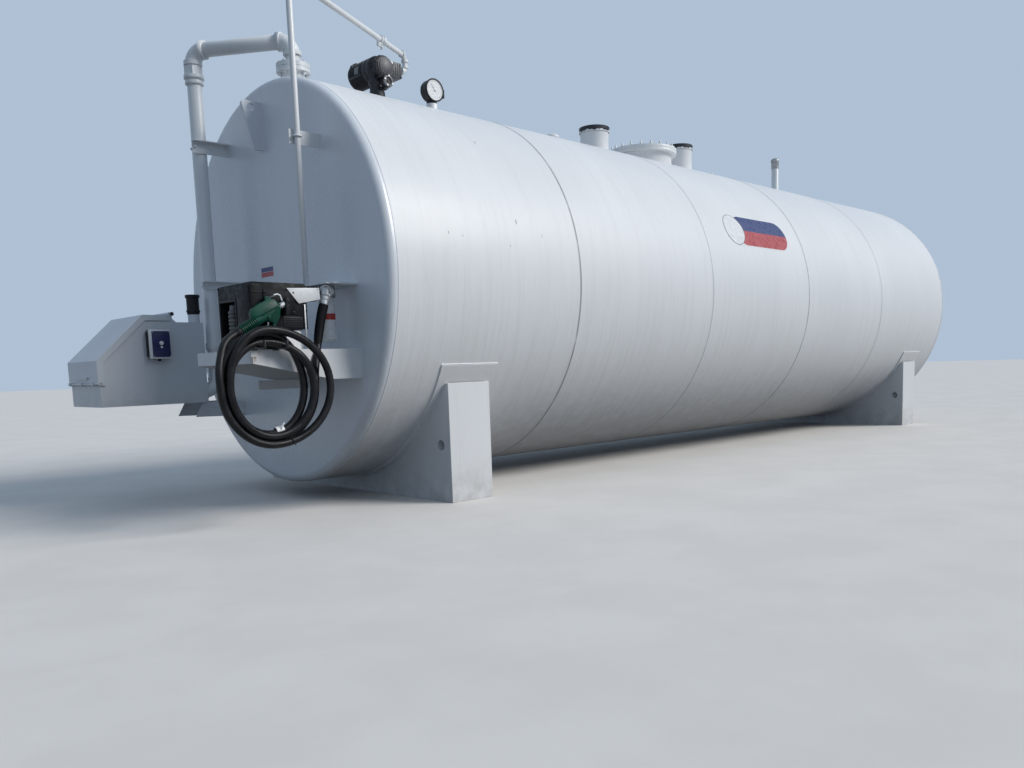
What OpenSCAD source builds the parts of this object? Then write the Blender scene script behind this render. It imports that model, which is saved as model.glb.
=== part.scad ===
// Aboveground horizontal fuel tank with flat flanged ends on two saddles.
// X runs along the tank, Y away from the dispenser side, Z up.
// The origin is on the floor under the middle of the near saddle.

/* [Tank] */
// Outside diameter of the shell
tank_d = 2440; // [2200:10:2700]
// Length over both heads
tank_len = 7640; // [7000:10:9000]
// Thickness of the shell plate
shell_t = 8; // [5:1:14]
// Thickness of the head plate
head_t = 8; // [5:1:14]
// Outside radius of the head's knuckle
knuckle_r = 45; // [30:1:80]
// Straight skirt of a head behind its knuckle
skirt_len = 12; // [6:1:40]
// Distance from the near end to the first round seam
seam_first = 1485; // [1200:5:1700]
// Width of a full shell course
course_w = 1500; // [1200:5:1700]
// Width of a weld bead
bead_w = 10; // [6:1:18]
// Height of a weld bead
bead_h = 2; // [1:0.5:4]

/* [Saddles] */
// Clearance between the floor and the bottom of the shell
floor_gap = 100; // [80:5:200]
// Distance from an end to the middle of its saddle
saddle_inset = 620; // [450:10:900]
// Width of a saddle along the tank
saddle_w = 315; // [240:5:360]
// Half length of a saddle across the tank
saddle_half = 1085; // [1000:5:1100]
// Height of a saddle's outer end plate
saddle_rise = 700; // [640:5:740]
// Thickness of the saddle plates
saddle_t = 10; // [6:1:16]
// Ribs inside a saddle
saddle_ribs = 3; // [1:2:5]
// Width of a wear plate along the tank
wear_w = 430; // [380:5:500]
// Thickness of a wear plate
wear_t = 8; // [5:1:14]
// Half angle that a wear plate wraps
wear_angle = 65; // [60:1:70]
// Diameter of the tie-down holes
tie_hole_d = 66; // [30:1:80]
// Distance from a saddle's end to its tie-down hole
tie_hole_in = 90; // [70:1:140]
// Height of the tie-down holes above the floor
tie_hole_h = 335; // [250:5:420]

/* [Lifting lugs] */
// Thickness of a lug
lug_t = 20; // [12:1:30]
// How far a lug stands off the head at its top
lug_reach = 123; // [90:1:160]
// Height of a lug along the head
lug_h = 284; // [220:2:340]
// Distance from the shell's top down to the lug's top
lug_drop = 115; // [80:5:240]
// Diameter of the lifting hole
lug_hole_d = 46; // [30:1:60]

/* [Fill line] */
// Outside diameter of the fill pipe
fill_d = 89; // [80:1:115]
// Distance from the near end to the fill flange
fill_x = 220; // [180:5:400]
// Height of the fill flange's face above the shell
fill_flange_h = 140; // [110:5:170]
// Diameter of the fill flange
fill_flange_d = 205; // [190:5:250]
// Height of the cross pipe's axis above the shell
fill_rise = 285; // [250:5:420]
// Distance of the drop pipe's axis in front of the near head
drop_off = 167; // [150:1:260]
// Distance of the drop pipe's axis to the side of the tank's axis
drop_y = 553; // [500:1:640]
// Centre to end of the fill elbows
elbow_r = 90; // [80:1:120]
// Height of the coupling on the drop pipe, from the tank's axis
coupling_z = -343; // [-400:1:-250]
// Height of the upper pipe bracket, from the tank's axis
bracket_hi_z = 868; // [700:2:960]
// Height of the lower pipe bracket, from the tank's axis
bracket_lo_z = 20; // [0:5:300]
// Leg height of the pipe brackets
bracket_h = 75; // [60:1:90]
// Thickness of the brackets
bracket_t = 6; // [4:1:10]

/* [Fill box] */
// Length of the fill box
box_len = 654; // [560:2:760]
// Width of the fill box
box_w = 518; // [440:2:600]
// Height of the low rear part of the fill box
box_h = 510; // [460:2:560]
// Height of the box's bottom, from the tank's axis
box_z = -704; // [-760:2:-640]
// Height of the front wall of the fill box
box_front_h = 280; // [240:2:330]
// Length of the flat rear top behind the lid
box_rear = 172; // [160:2:230]
// Length of the lid's flat top
lid_flat = 165; // [130:1:220]
// How far the lid stands above the rear top
lid_rise = 42; // [36:1:60]
// Height of the lid's front skirt
lid_front_h = 150; // [100:2:180]
// Plate thickness of the box and the lid
box_t = 5; // [3:1:8]
// Gap between the lid's side skirts and the box
lid_gap = 5; // [5:0.5:10]
// Diameter of the hinge pin
hinge_pin_d = 12; // [8:1:16]
// Diameter of the nipple on the rear top
nipple_d = 70; // [50:1:80]
// Height of the nipple
nipple_h = 52; // [30:1:80]
// Height of the cap on the nipple
box_cap_h = 124; // [80:1:150]
// Width of the alarm box along the tank
alarm_w = 130; // [120:1:180]
// Height of the alarm box
alarm_h = 178; // [140:1:210]
// Depth of the alarm box
alarm_d = 58; // [40:1:80]

/* [Product line] */
// Outside diameter of the product pipe
prod_d = 34; // [30:1:50]
// Distance of the product riser in front of the near head
prod_off = 152; // [120:1:200]
// Distance of the product riser to the side of the tank's axis
prod_y = 640; // [560:1:700]
// Height of the product run above the shell
prod_rise = 355; // [330:1:390]
// Centre to end of the product elbows
prod_elbow_r = 44; // [40:1:60]
// Height of the lower product plate, from the tank's axis
prod_plate_z = -65; // [-80:1:-40]
// Height of the upper product bracket, from the tank's axis
prod_bracket_z = 706; // [600:2:780]

/* [Pump] */
// Distance from the near end to the pump
pump_x = 815; // [700:5:900]
// Height of the pump's axis above the shell
pump_rise = 225; // [200:5:280]
// Diameter of the pump's motor
motor_d = 160; // [130:2:180]
// Length of the pump's motor
motor_len = 165; // [150:5:280]
// Diameter of the pump's end cover
pump_cover_d = 132; // [110:2:150]
// Depth of the pump's head
pump_head_d = 130; // [110:2:160]

/* [Gauge and top fittings] */
// Distance from the near end to the level gauge
gauge_x = 1300; // [1150:5:1400]
// Diameter of the level gauge
gauge_d = 165; // [140:1:190]
// Depth of the level gauge
gauge_depth = 90; // [60:1:110]
// Height of the gauge's centre above the shell
gauge_rise = 200; // [180:1:240]
// Distance from the near end to the small cap
cap_x = 2520; // [2300:10:2600]
// Diameter of the small cap
cap_d = 116; // [90:2:140]
// Height of the small cap
cap_h = 95; // [70:1:120]
// Distance from the near end to the first emergency vent
vent_a_x = 3040; // [2800:10:3150]
// Distance from the near end to the second emergency vent
vent_b_x = 4250; // [4180:10:4600]
// Diameter of a vent's body
vent_d = 240; // [200:2:280]
// Height of a vent above the shell
vent_h = 262; // [200:2:320]
// Height of a vent's cap
vent_cap_h = 62; // [40:2:90]
// Distance from the near end to the manway
manway_x = 3690; // [3600:10:3800]
// Outside diameter of the manway's neck
manway_d = 520; // [450:5:560]
// Diameter of the manway's flange
manway_flange_d = 610; // [600:5:650]
// Height of the manway's flange above the shell
manway_h = 130; // [110:2:200]
// Thickness of the manway's flange and of its cover
manway_t = 25; // [14:1:30]
// Bolts of the manway
manway_bolts = 20; // [12:4:28]
// Distance from the near end to the small plug
plug_x = 4790; // [4600:10:4900]
// Distance from the near end to the vent riser
riser_x = 6020; // [5900:10:6300]
// Outside diameter of the vent riser
riser_d = 73; // [60:1:90]
// Height of the vent riser with its cap
riser_h = 400; // [300:5:460]

/* [Shelf and dispenser] */
// Length of the shelf in front of the head
shelf_len = 637; // [600:1:700]
// Width of the shelf
shelf_w = 645; // [600:1:700]
// Distance of the shelf's near side from the tank's axis
shelf_y = 920; // [900:1:950]
// Height of the shelf's top, from the tank's axis
shelf_z = -412; // [-450:1:-380]
// Plate thickness of the shelf
shelf_t = 4; // [3:1:8]
// Height of the shelf's front lip
shelf_lip = 70; // [50:1:90]
// Depth of the shelf's side walls at the head
shelf_side = 160; // [140:1:190]
// Length of the full-depth part of the side walls
shelf_deep = 190; // [120:1:240]
// Length of the arm under the shelf
arm_len = 315; // [250:5:400]
// Leg of the arm's angle
arm_leg = 52; // [40:1:60]
// Length of the cabinet along the tank
cab_len = 310; // [290:1:330]
// Width of the cabinet across the tank
cab_w = 372; // [350:1:380]
// Height of the cabinet
cab_h = 337; // [310:1:360]
// Gap between the shelf's front and the cabinet
cab_front = 27; // [10:1:40]
// Gap between the shelf's near side and the cabinet
cab_side = 30; // [20:1:40]
// Diameter of the filter canister
filter_d = 93; // [80:1:105]
// Length of the filter canister
filter_len = 245; // [200:1:270]
// Diameter of the hose
hose_d = 40; // [36:1:42]

/* [Hidden] */
$fn = 64;
white = [0.86, 0.88, 0.9];
black = [0.06, 0.06, 0.07];
grey = [0.55, 0.56, 0.58];
seat = 0.2;
tank_r = tank_d / 2;
axis_z = tank_r + floor_gap;
rim = knuckle_r + skirt_len;
saddle_r = tank_r + wear_t + 2 * seat;

// Moves to the middle of the near head's face, on the tank's axis.
module at_head() {
  translate([-saddle_inset, 0, axis_z]) children();
}

// Moves to the crown of the shell at a distance from the near end.
module at_top(x, y = 0) {
  translate([x - saddle_inset, y, axis_z]) children();
}

// Turns a solid that stands on the origin to lie along +X.
module along_x() {
  rotate([0, 90, 0]) children();
}

// Straight round bar from point a to point b.
module rod(a, b, d) {
  v = b - a;
  l = norm(v);
  translate(a)
    rotate([0, acos(v[2] / l), atan2(v[1], v[0])])
      cylinder(h = l, d = d);
}

// Points of an arc about a centre.
function arc(c, r, a0, a1, n) = [for (i = [0:n])
  c + r * [cos(a0 + (a1 - a0) * i / n), sin(a0 + (a1 - a0) * i / n)]];

// Outline of one bead on the shell, as radius and length.
function bead(s) = [[tank_r, s - bead_w / 2], [tank_r + bead_h, s - bead_w / 4],
  [tank_r + bead_h, s + bead_w / 4], [tank_r, s + bead_w / 2]];

last_course = 400;
seams = [for (s = [seam_first:course_w:tank_len - rim - last_course]) s];

// Keeps what stands clear of the shell and its beads, for a piece at x and y.
module off_shell(x, y = 0) {
  difference() {
    children();
    translate([-x, -y, 0]) along_x() {
      translate([0, 0, -tank_len]) cylinder(h = 3 * tank_len, r = tank_r + seat, $fn = 180);
      for (s = seams)
        translate([0, 0, s - bead_w]) cylinder(h = 2 * bead_w, r = tank_r + bead_h + seat, $fn = 180);
    }
  }
}

module shell() {
  color(white) at_head() along_x() rotate_extrude($fn = 180)
    polygon(concat(
      [[tank_r - shell_t, rim], [tank_r, rim]],
      [for (s = seams) for (p = bead(s)) p],
      [[tank_r, tank_len - rim], [tank_r - shell_t, tank_len - rim]]));
}

module head() {
  rotate_extrude($fn = 180)
    polygon(concat(
      [[0, 0]],
      arc([tank_r - knuckle_r, knuckle_r], knuckle_r, -90, 0, 8),
      [[tank_r, rim - bead_w / 2], [tank_r + bead_h, rim - bead_w / 4],
       [tank_r + bead_h, rim], [tank_r - head_t, rim]],
      arc([tank_r - knuckle_r, knuckle_r], knuckle_r - head_t, 0, -90, 8),
      [[0, head_t]]));
}

module near_head() {
  color(white) at_head() along_x() head();
}

module far_head() {
  color(white) at_head() translate([tank_len, 0, 0]) rotate([0, -90, 0]) head();
}

module saddle_outline(inset) {
  difference() {
    translate([-saddle_half + inset, inset])
      square([2 * (saddle_half - inset), saddle_rise]);
    translate([0, axis_z]) circle(r = saddle_r, $fn = 180);
    translate([-saddle_half - 1, saddle_rise]) square([2 * saddle_half + 2, saddle_rise]);
  }
}

module saddle_slice(x, w) {
  translate([x, 0, 0]) rotate([90, 0, 90]) linear_extrude(height = w) children();
}

module saddle(x) {
  color(white) translate([x, 0, 0]) {
    difference() {
      saddle_slice(-saddle_w / 2, saddle_w) saddle_outline(0);
      saddle_slice(-saddle_w / 2 + saddle_t, saddle_w - 2 * saddle_t) saddle_outline(saddle_t);
      for (s = [-1, 1])
        translate([-saddle_w / 2 - 1, s * (saddle_half - tie_hole_in), tie_hole_h])
          along_x() cylinder(h = saddle_w + 2, d = tie_hole_d);
    }
    for (i = [1:saddle_ribs])
      saddle_slice(-saddle_w / 2 + saddle_t, saddle_w - 2 * saddle_t) intersection() {
        saddle_outline(saddle_t);
        translate([-0.75 * saddle_half + 1.5 * saddle_half * i / (saddle_ribs + 1) - saddle_t / 2, 0])
          square([saddle_t, saddle_rise]);
      }
  }
}

far_x = tank_len - 2 * saddle_inset;

module near_saddle() {
  saddle(0);
}

module far_saddle() {
  saddle(far_x);
}

module wear_plate(x) {
  color(white) translate([x, 0, axis_z])
    saddle_slice(-wear_w / 2, wear_w) difference() {
      circle(r = tank_r + wear_t + seat, $fn = 180);
      circle(r = tank_r + seat, $fn = 180);
      polygon([[0, 0], [2 * tank_d * sin(wear_angle), -2 * tank_d * cos(wear_angle)],
        [2 * tank_d, 2 * tank_d], [-2 * tank_d, 2 * tank_d],
        [-2 * tank_d * sin(wear_angle), -2 * tank_d * cos(wear_angle)]]);
    }
}

module near_wear_plate() {
  wear_plate(0);
}

module far_wear_plate() {
  wear_plate(far_x);
}

module lug() {
  top = tank_r - lug_drop;
  translate([0, lug_t / 2, 0]) rotate([90, 0, 0]) linear_extrude(height = lug_t) difference() {
    polygon(concat(
      [[0, top], [-lug_reach + 25, top]],
      arc([-lug_reach + 25, top - 25], 25, 90, 165, 5),
      [[-55, top - lug_h], [0, top - lug_h]]));
    translate([-62, top - 38]) circle(d = lug_hole_d);
  }
}

module near_lug() {
  color(white) at_head() translate([0, 44, 0]) lug();
}

module far_lug() {
  color(white) at_head() translate([tank_len, 44, 0]) mirror([1, 0, 0]) lug();
}

// Elbow with its corner at the origin, one end along +X and one down.
module elbow(r, d, band) {
  translate([r, 0, -r]) rotate([90, 0, 0]) rotate([0, 0, 90])
    rotate_extrude(angle = 90, $fn = 96) translate([r, 0]) circle(d = d);
  for (k = [0, 1])
    rotate([0, k * 90, 0]) translate([r - band, 0, 0])
      along_x() cylinder(h = band, d = d + 14);
}

cross_ang = atan2(drop_y, -drop_off - fill_x);
cross_len = norm([drop_off + fill_x, drop_y]);
fill_z = tank_r + fill_rise;

module fill_flange() {
  color(white) at_top(fill_x) {
    off_shell(fill_x) cylinder(h = tank_r + fill_flange_h - 30, d = fill_d + 50);
    translate([0, 0, tank_r + fill_flange_h - 52]) cylinder(h = 24, d = fill_flange_d);
    translate([0, 0, tank_r + fill_flange_h - 26]) cylinder(h = 26, d = fill_flange_d);
    translate([0, 0, tank_r + fill_flange_h - 30]) cylinder(h = 6, d = fill_d + 30);
    translate([0, 0, tank_r + fill_flange_h - 1])
      cylinder(h = fill_rise - elbow_r - fill_flange_h + 1, d = fill_d);
    for (i = [0:7])
      rotate([0, 0, 22.5 + 45 * i])
        translate([fill_flange_d / 2 - 20, 0, tank_r + fill_flange_h - 66]) {
          cylinder(h = 82, d = 14, $fn = 24);
          translate([0, 0, 65]) cylinder(h = 12, d = 24, $fn = 6);
          cylinder(h = 13, d = 24, $fn = 6);
        }
  }
}

module fill_top_elbow() {
  color(white) at_top(fill_x) translate([0, 0, fill_z])
    rotate([0, 0, cross_ang]) elbow(elbow_r, fill_d + 10, 26);
}

module fill_cross_pipe() {
  color(white) at_top(fill_x) translate([0, 0, fill_z]) rotate([0, 0, cross_ang])
    translate([elbow_r, 0, 0]) along_x() cylinder(h = cross_len - 2 * elbow_r, d = fill_d);
}

module at_drop() {
  at_head() translate([-drop_off, drop_y, 0]) children();
}

module fill_side_elbow() {
  color(white) at_drop() translate([0, 0, fill_z])
    rotate([0, 0, cross_ang + 180]) elbow(elbow_r, fill_d + 10, 26);
}

union_h = 120;
union_z = fill_z - elbow_r - union_h;

module fill_union() {
  color(white) at_drop() translate([0, 0, union_z]) {
    cylinder(h = union_h, d = fill_d + 8);
    translate([0, 0, 4]) cylinder(h = 18, d = fill_d + 22);
    translate([0, 0, 38]) cylinder(h = 20, d = fill_d + 34);
    translate([0, 0, 58]) cylinder(h = 50, d = fill_d + 32, $fn = 6);
  }
}

inlet_z = box_z + 70;

module fill_drop_pipe() {
  color(white) at_drop() {
    translate([0, 0, inlet_z + elbow_r])
      cylinder(h = union_z - inlet_z - elbow_r, d = fill_d);
    translate([0, 0, coupling_z - 22]) cylinder(h = 44, d = fill_d + 14);
    translate([0, 0, inlet_z]) rotate([0, 0, 180]) mirror([0, 0, 1])
      elbow(elbow_r, fill_d, 20);
  }
}

// Angle bracket from the head with a U-bolt that holds an upright pipe.
module pipe_bracket(off, d, h, t, leg) {
  len = off + d / 2 + 22;
  translate([-len, -d / 2 - t - seat, 0]) cube([len, t, h]);
  if (leg > 0)
    translate([-len, -d / 2 - t - seat - leg, h - t]) cube([len, leg + 1, t]);
  translate([-off, 0, h / 2]) {
    rotate_extrude(angle = 180) translate([d / 2 + 5.3, 0]) circle(d = 10, $fn = 24);
    for (s = [-1, 1])
      translate([s * (d / 2 + 5.3), 0, 0]) {
        rotate([90, 0, 0]) cylinder(h = d / 2 + t + 16, d = 10, $fn = 24);
        translate([0, -d / 2 - t - seat, 0]) rotate([90, 0, 0])
          cylinder(h = 9, d = 19, $fn = 6);
      }
  }
}

module fill_brackets() {
  color(white) at_head() translate([0, drop_y, 0]) {
    translate([0, 0, bracket_hi_z]) pipe_bracket(drop_off, fill_d, bracket_h, bracket_t, 40);
    translate([0, 0, bracket_lo_z]) pipe_bracket(drop_off, fill_d, bracket_h - 25, bracket_t, 30);
  }
}

// Corner points of the fill box, along the tank and up, from the near head's face.
box_x = -drop_off - elbow_r;
box_y = drop_y - 66;
box_front_x = box_x - box_len;
box_rear_z = box_z + box_h;
lid_z = box_rear_z + lid_rise;
wall_z = lid_z - box_t - 0.3;
lid_x = box_x - box_rear - 40;
lid_bend_x = lid_x - lid_flat;
front_z = box_z + box_front_h;
slope = atan2(wall_z - front_z, lid_bend_x - box_front_x);
hinge_x = lid_x + 12;
hinge_z = lid_z + 8;
knuckle_d = hinge_pin_d + 14;

// Outline of the box's side wall, drawn inwards by a distance.
module box_outline(inset) {
  offset(delta = -inset) polygon([[box_x, box_z], [box_front_x, box_z], [box_front_x, front_z],
    [lid_bend_x, wall_z], [lid_x, wall_z], [box_x - box_rear, box_rear_z], [box_x, box_rear_z]]);
}

module side_slice(y, w) {
  translate([0, y + w, 0]) rotate([90, 0, 0]) linear_extrude(height = w) children();
}

module fill_box() {
  stub_z = inlet_z;
  color(white) at_head() {
    difference() {
      side_slice(box_y, box_w) box_outline(0);
      side_slice(box_y + box_t, box_w - 2 * box_t) box_outline(box_t);
      side_slice(box_y + box_t, box_w - 2 * box_t)
        polygon([[box_front_x + box_t, front_z - 2 * box_t], [box_front_x - 1, front_z],
          [box_front_x - 1, lid_z], [lid_x, lid_z], [lid_x, wall_z - 1.5 * box_t],
          [lid_bend_x, wall_z - 2 * box_t]]);
    }
    for (k = [0, 2])
      translate([hinge_x, box_y + 20 + k * (box_w - 100) / 2, hinge_z]) hinge_ear();
    translate([hinge_x, box_y + 20, hinge_z]) rotate([-90, 0, 0])
      cylinder(h = box_w - 60, d = hinge_pin_d, $fn = 48);
    translate([box_x - box_t - 70, drop_y, stub_z]) along_x() {
      cylinder(h = 71, d = fill_d - 12);
      cylinder(h = 34, d = fill_d + 8);
      cylinder(h = 12, d = fill_d + 22);
    }
    translate([box_x - 39, box_y + 43, box_rear_z - 1]) cylinder(h = nipple_h + 1, d = nipple_d);
  }
}

// Fixed knuckle of the hinge with its foot on the box, 40 mm wide.
module hinge_ear() {
  rotate([-90, 0, 0]) cylinder(h = 40, d = knuckle_d, $fn = 48);
  translate([-6, 0, -lid_rise + 3]) cube([18, 40, lid_rise - 8]);
}

slope_off = tan(slope / 2);
out_t = box_t + 0.3;
lid_front_x = box_front_x - lid_gap;

// Height of the lid's sloped face at a place, moved out from the wall's top.
function slope_z(x, off) = wall_z + off - (lid_bend_x - off * slope_off - x) * tan(slope);

// Outline of the lid between two distances from the wall's top.
module lid_band(a, b, bottom) {
  polygon([[lid_x, wall_z + a], [lid_bend_x - a * slope_off, wall_z + a],
    [lid_front_x, slope_z(lid_front_x, a)], [lid_front_x, bottom],
    [lid_front_x - box_t, bottom], [lid_front_x - box_t, slope_z(lid_front_x - box_t, b)],
    [lid_bend_x - b * slope_off, wall_z + b], [lid_x, wall_z + b]]);
}

lid_y = box_y - lid_gap - box_t;
lid_w = box_w + 2 * (lid_gap + box_t);
lid_bottom = front_z - lid_front_h;

module fill_box_lid() {
  color(white) at_head() {
    side_slice(lid_y, lid_w) lid_band(0.3, out_t, lid_bottom);
    for (y = [lid_y, lid_y + lid_w - box_t])
      side_slice(y, box_t) polygon([[lid_x, wall_z - 28], [lid_bend_x + 28 * slope_off, wall_z - 28],
        [lid_front_x + 36, slope_z(lid_front_x + 36, -28)], [lid_front_x + 36, lid_bottom],
        [lid_front_x - box_t, lid_bottom], [lid_front_x - box_t, slope_z(lid_front_x - box_t, out_t)],
        [lid_bend_x - out_t * slope_off, wall_z + out_t], [lid_x, wall_z + out_t]]);
    difference() {
      union() {
        translate([hinge_x, box_y + 62, hinge_z]) rotate([-90, 0, 0])
          cylinder(h = box_w - 144, d = knuckle_d, $fn = 48);
        translate([lid_x - 14, box_y + 62, wall_z + 0.3]) cube([hinge_x - lid_x + 10, box_w - 144, box_t]);
      }
      translate([hinge_x, box_y, hinge_z]) rotate([-90, 0, 0])
        cylinder(h = box_w, d = hinge_pin_d + 0.1, $fn = 48);
    }
    translate([lid_front_x - box_t - 7, lid_y - 60, lid_bottom + 10]) rotate([-90, 0, 0])
      cylinder(h = lid_w + 40, d = 12, $fn = 32);
    for (y = [40, lid_w / 2 - 15, lid_w - 70])
      translate([lid_front_x - box_t - 18, lid_y + y, lid_bottom]) cube([19, 30, 20]);
    translate([lid_front_x - box_t - 9, lid_y + 170, lid_bottom + 38]) cube([10, 230, 14]);
  }
}

module fill_box_support() {
  color(white) at_head() for (y = [box_y + 20, box_y + 300])
    side_slice(y, 10) polygon([[0, box_z], [box_x - 28, box_z], [box_x - 80, box_z - 92],
      [0, box_z - 100]]);
}

alarm_in = 235;
alarm_x = box_x - alarm_in - alarm_w;
alarm_z = box_z + 283;

module alarm_box() {
  color([0.1, 0.13, 0.35]) at_head() translate([alarm_x, box_y - alarm_d, alarm_z]) {
    cube([alarm_w, alarm_d - 10, alarm_h]);
    translate([4, 0, 4]) cube([alarm_w - 8, alarm_d, alarm_h - 8]);
  }
}

module fill_box_cap() {
  color(black) at_head() translate([box_x - 39, box_y + 43, box_rear_z + nipple_h]) {
    cylinder(h = box_cap_h - 16, d = nipple_d + 6);
    translate([0, 0, 14]) cylinder(h = 14, d = nipple_d + 14);
    translate([0, 0, box_cap_h - 20]) cylinder(h = 20, d = nipple_d + 18);
  }
}

prod_z = tank_r + prod_rise;
pump_port_x = pump_x + 215;
pump_port_y = -65;
port_reach = 32;
port_rise = 25;
run_dx = pump_port_x + prod_off;
run_dy = pump_port_y + prod_y;
run_ang = atan2(run_dy, run_dx);
run_len = norm([run_dx, run_dy]);
plate_t = 8;
plate_w = 325;
plate_edge = 50 - prod_y;

module product_pipe() {
  color(white) at_head() translate([-prod_off, -prod_y, prod_plate_z + plate_t])
    cylinder(h = prod_z - prod_elbow_r - prod_plate_z - plate_t, d = prod_d);
}

module product_elbow() {
  color(white) at_head() translate([-prod_off, -prod_y, prod_z])
    rotate([0, 0, run_ang]) elbow(prod_elbow_r, prod_d, 14);
}

line_union_at = 0.745;

module product_run() {
  color(white) at_head() translate([-prod_off, -prod_y, prod_z]) rotate([0, 0, run_ang])
    translate([prod_elbow_r, 0, 0]) along_x() cylinder(h = run_len - 2 * prod_elbow_r, d = prod_d);
}

module line_union() {
  color(white) at_head() translate([-prod_off, -prod_y, prod_z]) rotate([0, 0, run_ang])
    translate([run_len * line_union_at, 0, 0]) along_x() difference() {
      union() {
        cylinder(h = 62, d = prod_d + 14);
        translate([0, 0, 22]) cylinder(h = 26, d = prod_d + 28, $fn = 6);
      }
      translate([0, 0, -1]) cylinder(h = 64, d = prod_d + 0.4);
    }
}

module pump_elbow() {
  low_z = pump_z + port_rise;
  color(white) at_head() translate([pump_port_x, pump_port_y, 0]) {
    translate([0, 0, prod_z]) rotate([0, 0, run_ang + 180]) elbow(prod_elbow_r, prod_d, 14);
    translate([0, 0, low_z + port_reach]) cylinder(h = prod_z - prod_elbow_r - low_z - port_reach + 1, d = prod_d);
    translate([0, 0, low_z]) rotate([0, 0, 180]) mirror([0, 0, 1]) elbow(port_reach, prod_d, 10);
  }
}

module product_brackets() {
  color(white) at_head() {
    translate([0, -prod_y, prod_bracket_z]) mirror([0, 1, 0])
      pipe_bracket(prod_off, prod_d, 78, bracket_t, 0);
    translate([-prod_off - 26, plate_edge - plate_w, prod_plate_z])
      difference() {
        cube([prod_off + 26, plate_w, plate_t]);
        translate([-1, -1, -1]) cylinder(h = plate_t + 2, r = 30);
      }
  }
}

pump_z = tank_r + pump_rise;
pump_face_y = -pump_head_d;

module pump_body() {
  color(black) at_head() translate([pump_x, 0, pump_z]) {
    translate([0, 20, 0]) rotate([90, 0, 0]) cylinder(h = 20 + pump_head_d, d = motor_d + 6);
    translate([0, pump_face_y, 0]) rotate([90, 0, 0]) {
      cylinder(h = 14, d = pump_cover_d);
      cylinder(h = 6, d = pump_cover_d + 18);
    }
    translate([60, pump_face_y + 10, -64])
      cube([pump_port_x - pump_x - port_reach - seat - 60, 110, 128]);
    translate([30, -30, -70]) rotate([90, 0, 0]) cylinder(h = pump_head_d - 20, d = 80);
    translate([-20, -45, -pump_rise + 30]) cylinder(h = pump_rise - 60, d = 76);
  }
  color(black) at_top(pump_x - 20, -45) off_shell(pump_x - 20, -45)
    cylinder(h = pump_z - 190, d = 96);
}

module pump_motor() {
  color(black) at_head() translate([pump_x, 20, pump_z]) rotate([-90, 0, 0]) {
    cylinder(h = motor_len, d = motor_d);
    translate([0, 0, motor_len]) cylinder(h = 22, d1 = motor_d - 10, d2 = motor_d - 60);
    for (i = [0:6])
      translate([0, 0, 40 + i * 24]) cylinder(h = 8, d = motor_d + 8);
    translate([-32, -motor_d / 2 - 14, motor_len - 56]) cube([64, 60, 62]);
  }
}

gauge_z = tank_r + gauge_rise;

module gauge_neck() {
  color(white) at_top(gauge_x) {
    off_shell(gauge_x) cylinder(h = tank_r + 46, d = 100);
    translate([0, 0, tank_r + 40])
      cylinder(h = gauge_rise - gauge_d / 2 - 12 - 40, d = 76);
  }
}

module gauge() {
  color(black) at_top(gauge_x) {
    translate([0, gauge_depth / 2, gauge_z]) rotate([90, 0, 0]) {
      cylinder(h = gauge_depth, d = gauge_d);
      cylinder(h = gauge_depth - 6, d = gauge_d + 8);
    }
    translate([0, 0, gauge_z - gauge_d / 2 - 12]) cylinder(h = 30, d = 60);
    translate([gauge_d / 2 - 6, -gauge_depth / 2 + 12, gauge_z - 40]) cube([26, 30, 62]);
  }
}

module small_cap() {
  color(white) at_top(cap_x) off_shell(cap_x) union() {
    cylinder(h = tank_r + cap_h - 26, d = cap_d - 18);
    translate([0, 0, tank_r + cap_h - 32]) cylinder(h = 18, d = cap_d);
    translate([0, 0, tank_r + cap_h - 14]) cylinder(h = 14, d1 = cap_d, d2 = cap_d - 50);
  }
}

module vent(x, h) {
  color(white) at_top(x) {
    off_shell(x) cylinder(h = tank_r + h - vent_cap_h, d = vent_d);
    translate([0, 0, tank_r + h - vent_cap_h]) cylinder(h = vent_cap_h - 8, d = vent_d + 20);
    translate([0, 0, tank_r + h - 8]) cylinder(h = 8, d1 = vent_d + 20, d2 = vent_d + 4);
  }
}

module vent_a() {
  vent(vent_a_x, vent_h - 34);
}

module vent_b() {
  vent(vent_b_x, vent_h);
}

module manway_neck() {
  color(white) at_top(manway_x) {
    off_shell(manway_x) cylinder(h = tank_r + manway_h - 2 * manway_t, d = manway_d, $fn = 96);
    translate([0, 0, tank_r + manway_h - 2 * manway_t])
      cylinder(h = manway_t, d = manway_flange_d, $fn = 96);
  }
}

module manway_cover() {
  color(white) at_top(manway_x) {
    translate([0, 0, tank_r + manway_h - manway_t]) difference() {
      cylinder(h = manway_t, d = manway_flange_d, $fn = 96);
      for (i = [0:manway_bolts - 1])
        rotate([0, 0, 360 * i / manway_bolts]) translate([manway_flange_d / 2 - 26, 0, -1])
          cylinder(h = manway_t + 2, d = 19, $fn = 24);
    }
    for (i = [0:manway_bolts - 1])
      rotate([0, 0, 360 * i / manway_bolts])
        translate([manway_flange_d / 2 - 26, 0, tank_r + manway_h - manway_t]) {
          cylinder(h = manway_t + 32, d = 16, $fn = 24);
          translate([0, 0, manway_t - 0.5]) cylinder(h = 14, d = 28, $fn = 6);
        }
  }
}

module top_plug() {
  color(white) at_top(plug_x) off_shell(plug_x) union() {
    cylinder(h = tank_r + 62, d = 60);
    translate([0, 0, tank_r + 62]) cylinder(h = 22, d = 34, $fn = 6);
  }
}

riser_cap_h = 108;

module vent_riser() {
  color(white) at_top(riser_x) {
    off_shell(riser_x) cylinder(h = tank_r + 50, d = riser_d + 24);
    translate([0, 0, tank_r + 49]) cylinder(h = riser_h - riser_cap_h - 49, d = riser_d);
  }
}

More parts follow.
